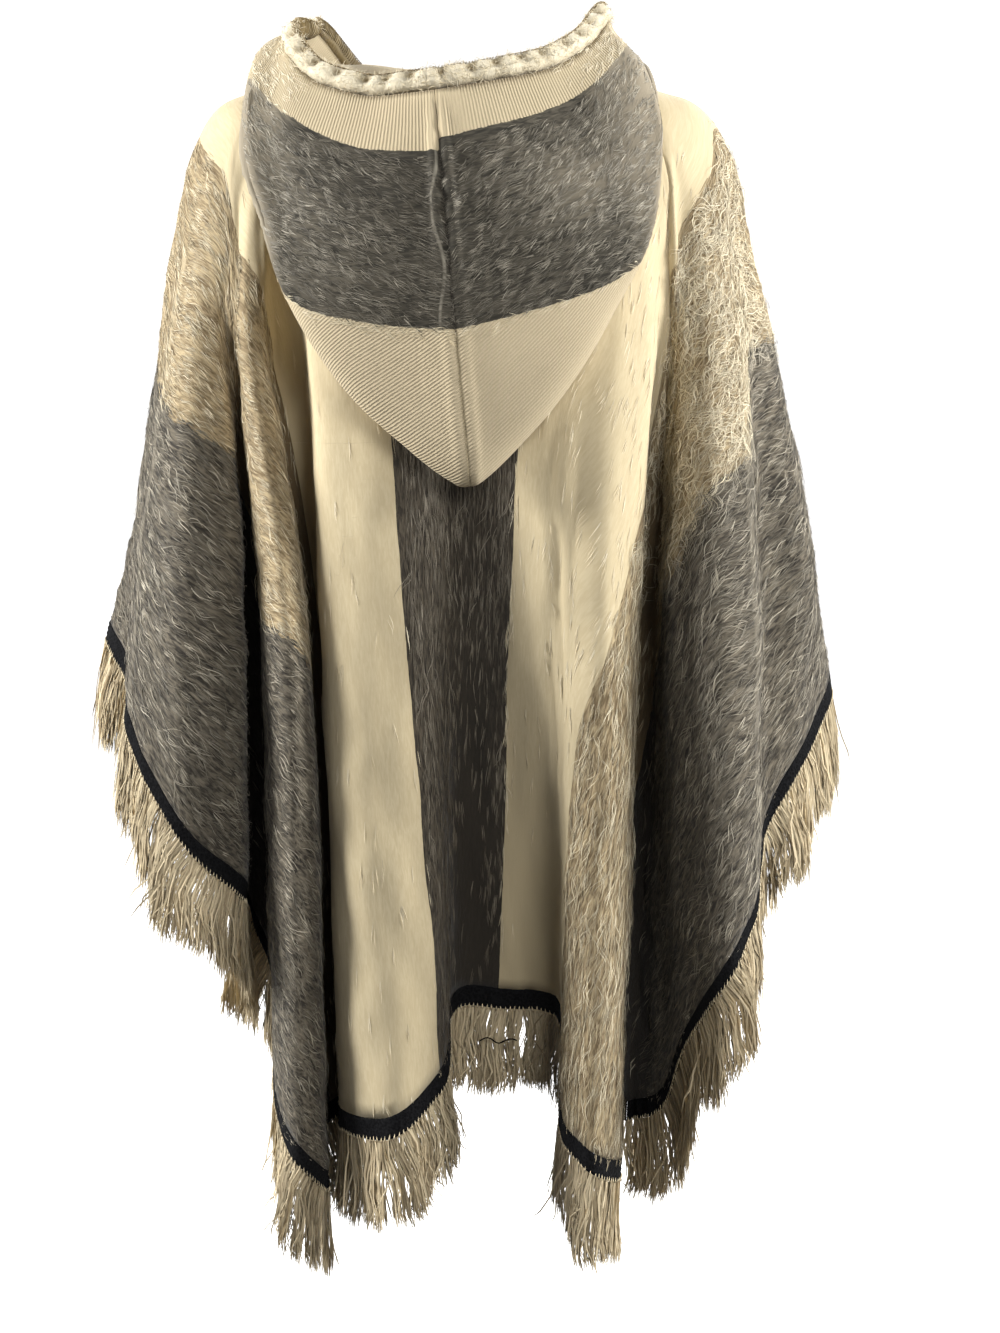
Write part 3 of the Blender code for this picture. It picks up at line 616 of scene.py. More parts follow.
def ridge_distance(grid):
    """How far each point lies from the nearest sharp fold line, round the body, in metres."""
    step = np.linalg.norm(np.roll(grid, -1, axis=1) - grid, axis=2)
    down = lengths_down(grid)
    reach = down / down[-1]
    nearest = np.full(grid.shape[:2], 1.0)
    for name, start, end in RIDGES:
        place = fine_column(name)
        turned = np.roll(step, -place, axis=1)
        ahead = np.cumsum(turned, axis=1) - turned
        behind = np.cumsum(turned[:, ::-1], axis=1)[:, ::-1]
        away = np.where(ahead < behind, ahead, -behind)
        away = np.roll(away, place, axis=1)
        away = np.where((reach > start) & (reach < end), away, 1.0)
        nearest = np.where(abs(away) < abs(nearest), away, nearest)
    return nearest


def part_of(surface, lengths):
    """The part of the body that lies at the given lengths down its columns."""
    own = lengths_down(surface.points)
    points, flat = (at_lengths(values, own, lengths) for values in (surface.points, surface.flat))
    return Surface(points, flat, closed=True)


def hem_strip(surface, rows):
    """The edging's part of the body, down to its lower edge, in even rows."""
    total = lengths_down(surface.points)[-1]
    share = np.linspace(0, 1, rows)[:, None]
    return part_of(surface, (total - EDGING_WIDTH) * (1 - share) + total * share)


def trimmed(surface):
    """The cloth down to where its edging begins."""
    own = lengths_down(surface.points)
    return part_of(surface, own * ((own[-1] - EDGING_WIDTH - HEM_GAP) / own[-1]))


# ---------------------------------------------------------------- the hood's surfaces


def hood_section(row, side):
    """Points of one section: rim, outer face, bottom fold, inner face, neck seam."""
    rim_x, rim_out, rim_z, fold_x, fold_out, fold_z, outer, inner, radius = (
        value / 1000 for value in row[1:]
    )
    seam = neck_point(math.radians(row[0]) * side)
    away = seam * (1, 1, 0)
    away /= np.linalg.norm(away)
    lap = (away * LAP_OUT + np.array((0, 0, LAP_UP))) * HOOD_LAP
    rim = np.array((rim_x, -rim_out, rim_z))
    fold = np.array((fold_x, -fold_out, fold_z))
    lift = np.array((0, 0, radius))
    return np.array((
        rim,
        rim * 0.5 + fold * 0.5 + away * outer,
        fold + away * radius + lift,
        fold,
        fold - away * radius + lift,
        fold * 0.5 + (seam + lap) * 0.5 + away * inner,
        seam + lap,
    ))


def body_tree(cloth):
    """The body's middle surface as triangles facing out, for finding what lies under the hood."""
    rows, columns = cloth.shape[:2]
    faces = [
        (r * columns + c, (r + 1) * columns + c,
         (r + 1) * columns + (c + 1) % columns, r * columns + (c + 1) % columns)
        for r in range(rows - 1)
        for c in range(columns)
    ]
    return BVHTree.FromPolygons(cloth.reshape(-1, 3).tolist(), faces)


def shortage(tree, point, clearance):
    """How far a point lies inside `clearance` of the body, seen from the chest."""
    ray = Vector(point) - CHEST
    found, away, _, distance = tree.ray_cast(CHEST, ray.normalized())
    if found is None:
        return 0.0
    slant = max(abs(away.dot(ray.normalized())), MOST_SLANT)
    return max(0.0, distance + clearance / slant - ray.length)


def rest_on(tree, grid, clearance):
    """Pushes points out from the chest until they and the faces round them clear the body."""
    rows, columns = grid.shape[:2]
    for _ in range(REST_PASSES):
        start = grid.copy()
        for r, c in np.ndindex(rows, columns):
            near = [
                (start[r, c] + start[i, j]) / 2
                for i in range(max(r - 1, 0), min(r + 2, rows))
                for j in range(max(c - 1, 0), min(c + 2, columns))
            ]
            push = max(shortage(tree, point, clearance[r]) for point in near)
            away = start[r, c] - np.array(CHEST)
            grid[r, c] += away / np.linalg.norm(away) * push


def hood_surface(table, side, tree):
    """One hood panel in fine steps, from its middle seam round to the front."""
    sections = np.array([hood_section(row, side) for row in table])
    levels = [spline(sections[:, i], HOOD_STEPS_ROUND) for i in range(sections.shape[1])]
    columns = [spline(line, HOOD_ROWS) for line in np.swapaxes(np.array(levels), 0, 1)]
    grid = np.swapaxes(np.array(columns), 0, 1)
    rest_on(tree, grid, np.interp(np.arange(len(grid)), *HOOD_CLEARANCE))
    steps = [FINE_HOOD_SEAM] + [FINE_HOOD_ROUND] * (grid.shape[1] - 2)
    rows = np.array([spline(row, steps) for row in grid])
    grid = np.array([spline(row, FINE_HOOD_DOWN) for row in np.swapaxes(rows, 0, 1)])
    grid = np.swapaxes(grid, 0, 1)
    far = abs(grid[..., 0] - grid[:, :1, 0])        # the lower tip is blunt
    low = np.clip(1 - (grid[..., 2] - grid[..., 2].min(axis=0)) / TIP_REACH, 0, 1)
    blunt = np.sqrt(far**2 + TIP_ROUND**2) - far - TIP_ROUND
    grid[..., 2] += TIP_SLOPE * blunt * bell(far, TIP_REACH) * low**2
    grid[:, 0, 0] += side * SEAM_GAP / 2
    down = lengths_down(grid)
    sewn = np.clip(1 - (down[-1] - down) / SEWN_REACH, 0, 1)[..., None]     # to the neck edge
    lap = unit(grid[-1] * (1, 1, 0)) * LAP_OUT + (0, 0, LAP_UP)
    grid -= lap * HOOD_LAP * SEWN_SHARE * sewn**2
    round_rim = run_of(grid[0])
    flat = np.stack((np.broadcast_to(round_rim * side, down.shape), down), axis=-1)
    place = np.concatenate([i + np.arange(n) / n for i, n in enumerate(steps)] + [[len(steps)]])
    turn = np.interp(place / HOOD_STEPS_ROUND, np.arange(len(table)), [row[0] for row in table])
    at, *lines = np.array(BAND).T
    lines = lines[:2] if side < 0 else lines[2:]
    top, bottom = (np.interp(turn, at, line / 1000) for line in lines)
    if side < 0:    # columns always run from the wearer's left to the right
        grid, flat, top, bottom = grid[:, ::-1], flat[:, ::-1], top[::-1], bottom[::-1]
    surface = Surface(grid, flat, closed=False)
    middle = surface.normal[:, -1 if side < 0 else 0]
    middle[:, 0] = 0.0
    middle /= np.linalg.norm(middle, axis=1, keepdims=True)
    surface.band = (down[:, ::-1] if side < 0 else down, top, bottom)
    surface.side = side
    return surface


# ---------------------------------------------------------------- finishes


class Finish:
    """A procedural material: nodes are added by type and joined by socket."""

    def __init__(self, name, roughness, sheen, sheen_roughness=0.5):
        self.material = bpy.data.materials.new(name)
        self.material.use_nodes = True
        self.nodes = self.material.node_tree.nodes
        self.links = self.material.node_tree.links
        self.shader = self.nodes["Principled BSDF"]
        self.shader.inputs["Roughness"].default_value = roughness
        self.shader.inputs["Sheen Weight"].default_value = sheen
        self.shader.inputs["Sheen Roughness"].default_value = sheen_roughness
        self.shader.inputs["Specular IOR Level"].default_value = 0.25

    def add(self, kind, inputs=(), output=0, **settings):
        """A node: `inputs` are values or sockets to join, and `output` the socket to give back."""
        node = self.nodes.new("ShaderNode" + kind)
        for key, value in settings.items():
            setattr(node, key, value)
        for socket, value in dict(inputs).items():
            if isinstance(value, bpy.types.NodeSocket):
                self.links.new(value, node.inputs[socket])
            else:
                node.inputs[socket].default_value = value
        return node.outputs[output]

    def value(self, name):
        """A number that the piece carries at every point."""
        return self.add("Attribute", attribute_name=name, output=2)

    def apart(self, place):
        """The two numbers of a place on the flat cut."""
        parts = self.nodes.new("ShaderNodeSeparateXYZ")
        self.links.new(place, parts.inputs[0])
        return parts.outputs[:2]

    def math(self, operation, a, b=0.0, c=0.0):
        """One step of arithmetic."""
        return self.add("Math", {0: a, 1: b, 2: c}, operation=operation)

    def blend(self, share, a, b):
        """Colour a turning to colour b."""
        return self.add("Mix", {0: share, 6: a, 7: b}, output=2, data_type="RGBA")

    def ramp(self, value, low, high, start=0.0, end=1.0):
        """A smooth change from `start` to `end` as the value goes from `low` to `high`."""
        return self.add(
            "MapRange",
            {"Value": value, "From Min": low, "From Max": high, "To Min": start, "To Max": end},
            interpolation_type="SMOOTHSTEP",
        )

    def noise(self, place, scale, detail=3.0, distortion=0.0, stretch=(1, 1, 1), turn=0.0):
        """Soft spots, stretched and turned; `place` is in metres and `scale` in spots a metre."""
        moved = self.add("Mapping", {"Vector": place, "Scale": stretch, "Rotation": (0, 0, turn)})
        looks = {"Vector": moved, "Scale": scale, "Detail": detail, "Distortion": distortion}
        return self.add("TexNoise", looks)

    def brushed(self, streaks, locks):
        """Fine streaks over broader locks."""
        return self.math("MULTIPLY_ADD", streaks, 0.6, self.math("MULTIPLY", locks, 0.4))

    def about_middle(self, noise):
        """Noise that wanders to both sides of 0."""
        return self.math("SUBTRACT", noise, 0.5)

    def waves(self, place, direction, scale, distortion, detail, detail_scale=1.0):
        """Even lines, as of a twill or of ribs."""
        return self.add("TexWave", {
            "Vector": place, "Scale": scale, "Distortion": distortion,
            "Detail": detail, "Detail Scale": detail_scale,
        }, bands_direction=direction)

    def bump(self, height, distance, strength=1.0, under=None):
        """Relief, laid over the relief `under` if there is one."""
        inputs = {"Height": height, "Distance": distance, "Strength": strength}
        if under is not None:
            inputs["Normal"] = under
        return self.add("Bump", inputs)

    def finish(self, colour, normal=None):
        """Joins colour and relief to the surface, and gives back the material."""
        self.links.new(colour, self.shader.inputs["Base Color"])
        if normal is not None:
            self.links.new(normal, self.shader.inputs["Normal"])
        return self.material


def rgba(colour, share=1.0):
    """A colour, made lighter or darker by `share`, with the opaque fourth number."""
    return (colour[0] * share, colour[1] * share, colour[2] * share, 1.0)


def stripe_colours(finish, distance, which):
    """One colour for each stripe, by distance from the middle of the cloth."""
    ramp = finish.nodes.new("ShaderNodeValToRGB")
    ramp.color_ramp.interpolation = "CONSTANT"
    stops = ramp.color_ramp.elements
    while len(stops) < len(STRIPES):
        stops.new(0.5)
    for stop, (start, yarn) in zip(stops, STRIPES):
        stop.position = start / CUT_HALF_WIDTH
        value = YARNS[yarn][which]
        stop.color = (value,) * 4 if which == 3 else rgba(value)
    finish.links.new(distance, ramp.inputs[0])
    return ramp.outputs[0]


def striped_cloth():
    """Brushed wool: three yarns in wide stripes, with the nap lying along them."""
    f = Finish("striped_cloth", 0.92, 0.08)
    place = f.add("UVMap", uv_map="cut")
    sideways, back = f.apart(place)
    across = f.math("ABSOLUTE", sideways)
    # stripe edges: crisp in the middle of the back, frayed by the nap towards the arms
    fray = f.noise(place, 60, 4, 0.4, (4.0, 1.0, 1))
    tufts = f.noise(place, 22, 2, 0.8, (2.0, 1.0, 1))
    loose = f.ramp(across, 0.30, 0.47, 0.002, 0.016)
    along = f.math("ABSOLUTE", back)
    loose = f.math("ADD", loose, f.ramp(along, 0.14, 0.32, 0.012, 0.0))
    wander = f.math("ADD", f.about_middle(fray), f.about_middle(tufts))
    shifted = f.math("MULTIPLY_ADD", wander, loose, across)
    scaled = f.math("DIVIDE", shifted, CUT_HALF_WIDTH)
    ground = stripe_colours(f, scaled, 0)
    nap = stripe_colours(f, scaled, 1)
    streaks = f.noise(place, 115, 5, 0.7, (4.5, 1.0, 1))
    locks = f.noise(place, 40, 4, 1.2, (3.4, 1.0, 1))
    clouds = f.noise(place, 9, 3, 0.5, (1.5, 1.0, 1))
    cover = f.ramp(f.brushed(streaks, locks), 0.38, 0.64, 0.0, 1.0)
    cover = f.math("MULTIPLY", cover, f.ramp(clouds, 0.25, 0.75, 0.65, 1.0))
    # painted shade: in the fold hollows the nap thins out, so the dark ground shows and the folds
    # read dark
    cover = f.math("MULTIPLY", cover, f.ramp(f.value("hollow"), 0.0, 0.9, 1.0, 0.05))
    # painted highlight along the sharp fold lines, a pale crest partly of loose hair colour, and
    # painted shade in a band of thinner nap beside it
    ridge = f.math("MULTIPLY_ADD", f.about_middle(fray), 0.004, f.value("ridge"))
    ridge = f.math("ABSOLUTE", ridge)
    crest = f.ramp(ridge, 0.0025, 0.0080, 1.0, 0.0)
    beside = f.ramp(ridge, 0.008, 0.024, 0.75, 1.0)
    cover = f.math("MAXIMUM", f.math("MULTIPLY", cover, beside), f.math("MULTIPLY", crest, 0.5))
    colour = f.blend(cover, ground, nap)
    colour = f.blend(f.math("MULTIPLY", crest, 0.12), colour, stripe_colours(f, scaled, 2))
    rough = f.math("MULTIPLY", stripe_colours(f, scaled, 3), 1.6)
    normal = f.bump(f.math("MULTIPLY", streaks, rough), 0.0016, 0.7)
    normal = f.bump(f.math("MULTIPLY", locks, rough), 0.0030, 0.6, normal)
    normal = f.bump(crest, 0.0015, 0.5, normal)
    return f.finish(colour, normal)


def hood_cloth():
    """The same wool on the hood: flat twill and ribs in the cream, a short nap in the charcoal."""
    f = Finish("hood_cloth", 0.92, 0.08)
    place = f.add("UVMap", uv_map="cut")
    across, down = f.apart(place)
    fray = f.noise(place, 300, 3, 0.2)
    edge = f.math("MULTIPLY_ADD", f.about_middle(fray), 0.0030, f.value("band"))
    dark = f.ramp(edge, -0.0004, 0.0004)
    streaks = f.noise(place, 85, 5, 0.8, (1.0, 4.0, 1), 0.55)
    locks = f.noise(place, 20, 4, 1.0, (1.0, 2.4, 1), 0.55)
    brushed = f.brushed(streaks, locks)
    pale = f.value("pale")
    # painted sheen and shade: the nap covers more where the hood's paleness is high, and the
    # charcoal turns pale grey where the hood turns in at its sides
    cover = f.math("MULTIPLY", f.ramp(brushed, 0.36, 0.66), f.ramp(pale, -0.12, 0.10, 0.40, 1.0))
    charcoal = f.blend(cover, rgba(YARNS["hood_grey"][0]), rgba(YARNS["hood_grey"][1]))
    outer = f.ramp(pale, 0.05, 0.90, 0.0, 0.80)
    charcoal = f.blend(outer, charcoal, rgba(YARNS["grey"][1], 1.9))
    twill = f.waves(place, "DIAGONAL", 200, 1.6, 2.0, 3.0)
    ribs = f.waves(place, "X", 120, 0.3, 0.5)
    low = f.ramp(down, 0.10, 0.16)          # ribs by the rim, twill from there down
    weave = f.add("Mix", {0: low, 2: ribs, 3: twill}, data_type="FLOAT")
    mottle = f.math("MULTIPLY", f.noise(place, 24, 3, 0.3), f.ramp(low, 0, 1, 0.15, 0.45))
    light = f.math("MULTIPLY_ADD", weave, f.ramp(low, 0, 1, 0.30, 0.55), mottle)
    colour = f.blend(dark, f.blend(light, *map(rgba, HOOD_CREAM)), charcoal)
    aside = f.math("ABSOLUTE", across)
    # a dark line along the middle seam, and painted shade in a narrow band under the rim
    seam = f.math("MULTIPLY", f.ramp(aside, 0.0004, 0.0015, 0.8, 0.0), f.ramp(dark, 0, 1, 0.5, 1.0))
    shade = f.math("MAXIMUM", seam, f.ramp(down, 0.0010, 0.0050, 0.50, 0.0))    # and by the rim
    colour = f.blend(shade, colour, f.blend(dark, rgba(GOLD, 0.9), rgba(YARNS["charcoal"][0])))
    # painted highlight: a pale line that wanders beside the seam, along the roll there
    wander = f.math("SINE", f.math("MULTIPLY_ADD", down, 62.0, -2.2))
    seam_highlight_place = f.math("MULTIPLY_ADD", wander, 0.0022, -0.0050)
    seam_highlight = f.math("ABSOLUTE", f.math("SUBTRACT", across, seam_highlight_place))
    seam_highlight = f.math("MULTIPLY", f.ramp(seam_highlight, 0.0002, 0.0012, 0.30, 0.0), dark)
    colour = f.blend(seam_highlight, colour, rgba(YARNS["hood_grey"][2]))
    height = f.add("Mix", {0: dark, 2: weave, 3: brushed}, data_type="FLOAT")
    return f.finish(colour, f.bump(height, 0.0010, 0.45))


def crochet_black():
    """Black wool in small loops, with next to no shine."""
    f = Finish("crochet_black", 0.9, 0.0)
    f.shader.inputs["Specular IOR Level"].default_value = 0.06
    place = f.add("TexCoord", output=3)
    loops = f.add("TexVoronoi", {"Vector": place, "Scale": 420})
    fluff = f.noise(place, 900, 2)
    light = f.math("MULTIPLY_ADD", fluff, 0.5, f.math("MULTIPLY", loops, 0.5))
    colour = f.blend(f.ramp(light, 0.25, 0.75), *map(rgba, BLACK))
    return f.finish(colour, f.bump(loops, 0.0006, 0.8))


def yarn_finish(name, roughness, sheen):
    """Loose yarn or hair that carries its own colour at every point."""
    f = Finish(name, roughness, sheen)
    return f.finish(f.add("Attribute", attribute_name="dye"))


def rolled_rim():
    """Brushed cream wool, with painted shade in the pinches, on its inner side and underneath,
    and streaked by the overcast stitches.
    """
    f = Finish("rolled_rim", 0.92, 0.25)
    place = f.add("UVMap", uv_map="cut")
    fluff = f.noise(place, 160, 4, 0.6, (2.2, 1.0, 1))
    mottle = f.noise(place, 40, 3, 0.5)
    colour = f.blend(f.brushed(fluff, mottle), *map(rgba, RIM_CREAM))
    # painted shade from the rim's pinch values, with the gold of the stitch streaks
    colour = f.blend(f.value("pinch"), colour, rgba(GOLD, 1.2))
    return f.finish(colour, f.bump(fluff, 0.0012, 0.8))


def plain_paper():
    """Pale paper that glows a little, so that it stays white under soft light."""
    f = Finish("pale_floor", 0.9, 0.0)
    place = f.add("TexCoord", output=3)
    shade = f.noise(place, 1.5, 2)
    f.shader.inputs["Emission Color"].default_value = (1, 1, 1, 1)
    f.shader.inputs["Emission Strength"].default_value = PAPER_GLOW
    return f.finish(f.blend(shade, *map(rgba, PAPER_WHITE)))


# ---------------------------------------------------------------- making pieces


def piece(name, points, faces, finish, flat=None, colours=None, values=None):
    """A new mesh that rides with the garment; `faces` is an array, or a list if they differ."""
    mesh = bpy.data.meshes.new(name)
    faces = faces if isinstance(faces, list) else faces.tolist()
    mesh.from_pydata(points.reshape(-1, 3).tolist(), [], faces)
    if flat is not None:
        loops = np.empty(len(mesh.loops), np.int32)
        mesh.loops.foreach_get("vertex_index", loops)
        layer = mesh.uv_layers.new(name="cut")
        layer.data.foreach_set("uv", np.asarray(flat, np.float32)[loops].ravel())
    if colours is not None:
        dye = mesh.attributes.new("dye", "FLOAT_COLOR", "POINT")
        opaque = np.concatenate((colours, np.ones((len(colours), 1))), axis=1)
        dye.data.foreach_set("color", opaque.astype(np.float32).ravel())
    for key, numbers in (values or {}).items():
        attribute = mesh.attributes.new(key, "FLOAT", "POINT")
        attribute.data.foreach_set("value", np.asarray(numbers, np.float32).ravel())
    mesh.shade_smooth()
    mesh.materials.append(finish)
    obj = bpy.data.objects.new(name, mesh)
    bpy.context.scene.collection.objects.link(obj)
    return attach(obj, "root")


def quads(rows, columns, closed):
    """Faces of a grid, seen from outside."""
    r, c = np.ogrid[: rows - 1, : columns if closed else columns - 1]
    after = (c + 1) % columns
    above, below = r * columns, (r + 1) * columns
    return np.stack((above + c, below + c, below + after, above + after), axis=-1).reshape(-1, 4)


def ring_of(line, other):
    """Faces between two matching lines of points."""
    return np.stack((line[:-1], line[1:], other[1:], other[:-1]), axis=1)


def shell(name, surface, wall, finish, outer_extra=0.0, values=None):
    """A closed sheet, half its wall to each side of the surface."""
    points, normal = surface.points, surface.normal
    rows, columns = points.shape[:2]
    count = rows * columns
    extra = outer_extra if np.isscalar(outer_extra) else outer_extra[..., None]
    both = np.concatenate((points + normal * (wall / 2 + extra), points - normal * wall / 2))
    outer = quads(rows, columns, surface.closed)
    faces = [outer, count + outer[:, ::-1]]
    index = np.arange(count).reshape(rows, columns)
    top, bottom = index[0], index[-1]
    if surface.closed:
        top, bottom = np.append(top, top[0]), np.append(bottom, bottom[0])
    else:
        faces.append(ring_of(count + index[:, 0], index[:, 0]))
        faces.append(ring_of(index[:, -1], count + index[:, -1]))
    faces.append(ring_of(top, count + top))
    faces.append(ring_of(count + bottom, bottom))
    flat = np.tile(surface.flat.reshape(-1, 2), (2, 1))
    values = {key: np.tile(v.ravel(), 2) for key, v in (values or {}).items()}
    return piece(name, both, np.concatenate(faces), finish, flat, values=values)


def mixed(colours, share):
    """Colours between the first and the second of each pair."""
    return colours[0] * (1 - share[:, None]) + colours[1] * share[:, None]


def ribbons(paths, sides, colours):
    """Flat pointed strips along paths (count, steps, 3): their points, faces and colours."""
    count, steps = paths.shape[:2]
    pairs = np.stack((paths - sides, paths + sides), axis=2).reshape(count, steps * 2, 3)
    points = np.concatenate((pairs[:, :-2], paths[:, -1:]), axis=1)
    each = points.shape[1]
    start = np.arange(count)[:, None] * each
    a = (start + np.arange(steps - 2)[None, :] * 2).reshape(-1)
    last = start[:, 0] + each - 3
    faces = [(a, a + 1, a + 3), (a, a + 3, a + 2), (last, last + 1, last + 2)]
    faces = np.concatenate([np.stack(corners, axis=1) for corners in faces])
    colours = np.concatenate((np.repeat(colours[:, :-1], 2, axis=1), colours[:, -1:]), axis=1)
    return points.reshape(-1, 3), faces, colours.reshape(-1, 3)


def unit(vectors):
    """The directions of vectors, each 1 long."""
    return vectors / np.maximum(np.linalg.norm(vectors, axis=-1, keepdims=True), 1e-9)


def scatter(rng, surface, count, weight):
    """Fractional columns and rows spread over a surface as `weight` (per square metre) says."""
    points = surface.points
    ahead = np.roll(points, -1, axis=1) if surface.closed else points[:, 1:]
    here = points if surface.closed else points[:, :-1]
    side, down = (ahead - here)[:-1], here[1:] - here[:-1]
    area = np.linalg.norm(np.cross(side, down), axis=2)
    share = area * weight[: area.shape[0], : area.shape[1]]
    chosen = rng.choice(share.size, count, p=share.ravel() / share.sum())
    rows, columns = np.unravel_index(chosen, share.shape)
    return columns + rng.random(count), rows + rng.random(count)


def in_tufts(numbers, tuft):
    """The first number of every tuft, for all the hairs in it."""
    return np.repeat(numbers[::tuft], tuft)[: len(numbers)]


def from_column_to_column(values, closed):
    """How values change across a grid."""
    change = np.gradient(values, axis=1)
    if closed:
        change[:, 0] = (values[:, 1] - values[:, -1]) / 2
        change[:, -1] = (values[:, 0] - values[:, -2]) / 2
    return change


# Limits that keep a hair in place where the grid is pinched: divisors, and cells in one step
LEAST_TURN, LEAST_AREA, MOST_CELLS = 1e-12, 1e-14, 3


def comb(surface, column, row, length, steps, rng, fall, spread, curl, lift, tuft, turn):
    """Paths of hairs that lie along the cloth, and the sideways direction at each point."""
    count = len(column)
    columns_of, flat_columns = (
        from_column_to_column(values, surface.closed) for values in (surface.points, surface.flat)
    )
    rows_of, flat_rows = np.gradient(surface.points, axis=0), np.gradient(surface.flat, axis=0)
    slant = in_tufts(rng.normal(0, spread, count), tuft)
    slant = slant + rng.normal(0, spread * OWN_SLANT, count) + turn
    phase = in_tufts(rng.random(count) * 2 * np.pi, tuft) + rng.normal(0, OWN_PHASE, count)
    turns = rng.choice((-1.0, 1.0), count) * rng.uniform(*CURLS, count)
    turns = in_tufts(turns, tuft) * curl
    paths, sides = np.empty((count, steps, 3)), np.empty((count, steps, 3))
    along = np.linspace(0, 1, steps)
    arch = np.sin(np.pi * (HAIR_RISE[0] + HAIR_RISE[1] * along))
    for step in range(steps):
        normal = unit(surface.look_up(surface.normal, column, row))
        place = surface.look_up(surface.points, column, row)
        p_c, p_r, f_c, f_r = (
            surface.look_up(values, column, row)
            for values in (columns_of, rows_of, flat_columns, flat_rows)
        )
        back = np.where(surface.look_up(surface.flat, column, row)[:, 1] >= 0, 1.0, -1.0)
        cross = f_c[:, 0] * f_r[:, 1] - f_c[:, 1] * f_r[:, 0]
        cross = np.where(abs(cross) < LEAST_TURN, LEAST_TURN, cross)
        by_column, by_row = -f_r[:, 0] * back / cross, f_c[:, 0] * back / cross
        nap = unit(p_c * by_column[:, None] + p_r * by_row[:, None])
        hang = np.array((0, 0, -1.0)) - normal * -normal[:, 2:3]
        way = unit(nap * (1 - fall) + unit(hang) * fall)
        beside = unit(np.cross(normal, way))
        angle = slant + turns * np.sin(phase + along[step] * CURL_TURN)
        way = way * np.cos(angle)[:, None] + beside * np.sin(angle)[:, None]
        side = unit(np.cross(normal, way))
        paths[:, step] = place + normal * (lift[:, None] * arch[step])
        sides[:, step] = side
        pace = way * (length / (steps - 1))[:, None]
        cc, rr, cr = (p_c * p_c).sum(1), (p_r * p_r).sum(1), (p_c * p_r).sum(1)
        pc, pr = (p_c * pace).sum(1), (p_r * pace).sum(1)
        det = np.maximum(cc * rr - cr**2, LEAST_AREA)
        column = column + np.clip((pc * rr - pr * cr) / det, -MOST_CELLS, MOST_CELLS)
        row = row + np.clip((pr * cc - pc * cr) / det, -MOST_CELLS, MOST_CELLS)
    return paths, sides


# ---------------------------------------------------------------- nap


def stripe_of(across):
    """Which stripe of the cloth a place lies in, as its number in the table."""
    starts = [start for start, _ in STRIPES]
    return np.searchsorted(starts, np.abs(across), side="right") - 1


def hair_colours(rng, yarns, pale, tuft):
    """A colour for every hair: its yarn's nap, and the more `pale` the nearer its loose hair."""
    nap, loose, uneven = (np.array([YARNS[yarn][which] for yarn in yarns]) for which in (1, 2, 3))
    count = len(nap)
    even = np.where(uneven < EVEN_YARN, EVEN_PALENESS, 0.0)
    share = np.clip(in_tufts(rng.beta(*HAIR_PALENESS, count), tuft) + pale + even, 0, 1)
    tone = 1.1 - uneven * in_tufts(rng.random(count), tuft) - uneven * 0.3 * rng.random(count)
    return mixed((nap, loose), share) * tone[:, None]


def brush(name, surface, weight, seed, pale, count, length, width, lift, fall, spread, curl, steps,
          tuft, outside=WALL / 2, yarns=None, heading=None):
    """Tufts of hair combed along a surface; `weight` says how thickly each part is covered."""
    rng = np.random.default_rng(SEED + seed)
    column, row = (in_tufts(at, tuft) for at in scatter(rng, surface, count, weight))
    column = column + rng.normal(0, TUFT_SPREAD[0], count)
    row = row + rng.normal(0, TUFT_SPREAD[1], count)
    flat = surface.look_up(surface.flat, column, row)
    if yarns is None:
        names = [yarn for _, yarn in STRIPES]
        kinds = [names[i] for i in stripe_of(flat[:, 0])]
    else:
        kinds = yarns(surface, column, row)
    room = surface.look_up(surface.room[..., None], column, row)[:, 0]
    lengths = np.minimum(rng.uniform(*length, count), room)
    lifts = rng.uniform(*lift, count)
    turn = 0.0 if heading is None else heading(flat)
    paths, sides = comb(
        surface, column, row, lengths, steps, rng, fall, spread, curl, lifts, tuft, turn
    )
    normal = unit(surface.look_up(surface.normal, column, row))[:, None]
    tilt = rng.uniform(-HAIR_TILT, HAIR_TILT, (count, 1, 1))
    widths = rng.uniform(*width, count)[:, None, None]
    along = np.linspace(0, 1, steps)
    taper = np.interp(along, *HAIR_TAPER)[None, :, None]
    half = unit(sides + normal * tilt) * widths / 2 * taper
    colours = hair_colours(rng, kinds, pale(flat) if callable(pale) else pale, tuft)
    colours = colours[:, None] * np.interp(along, *HAIR_SHADE)[None, :, None]
    points, faces, dyes = ribbons(paths + normal * outside, half, colours)
    return piece(name, points, faces, NAP, colours=dyes)


# ---------------------------------------------------------------- edging and fringe


def side_strip(surface, first, last):
    """One side's part of the hem strip, with columns evenly spaced along it."""
    count = surface.points.shape[1]
    columns = np.arange(first, last + 1 + (count if last <= first else 0)) % count
    along = run_of(surface.points[-1][columns])
    half = SEAM_GAP / 2
    places = np.linspace(half, along[-1] - half, int(along[-1] / EDGING_STEP) + 1)
    points, flat, normal = (
        np.stack([between(places, along, row[columns]) for row in values])
        for values in (surface.points, surface.flat, surface.normal)
    )
    strip = Surface(points, flat, closed=False)
    strip.normal = unit(normal)
    strip.along = places
    return strip


def lower_edge(band, at):
    """The crochet's lower edge at places along it; and which way is down, out and along there."""
    lines = band.points[-1], band.points[-2], band.normal[-1]
    low, above, out = (between(at, band.along, line) for line in lines)
    return low, unit(low - above), unit(out), unit(np.gradient(low, axis=0))


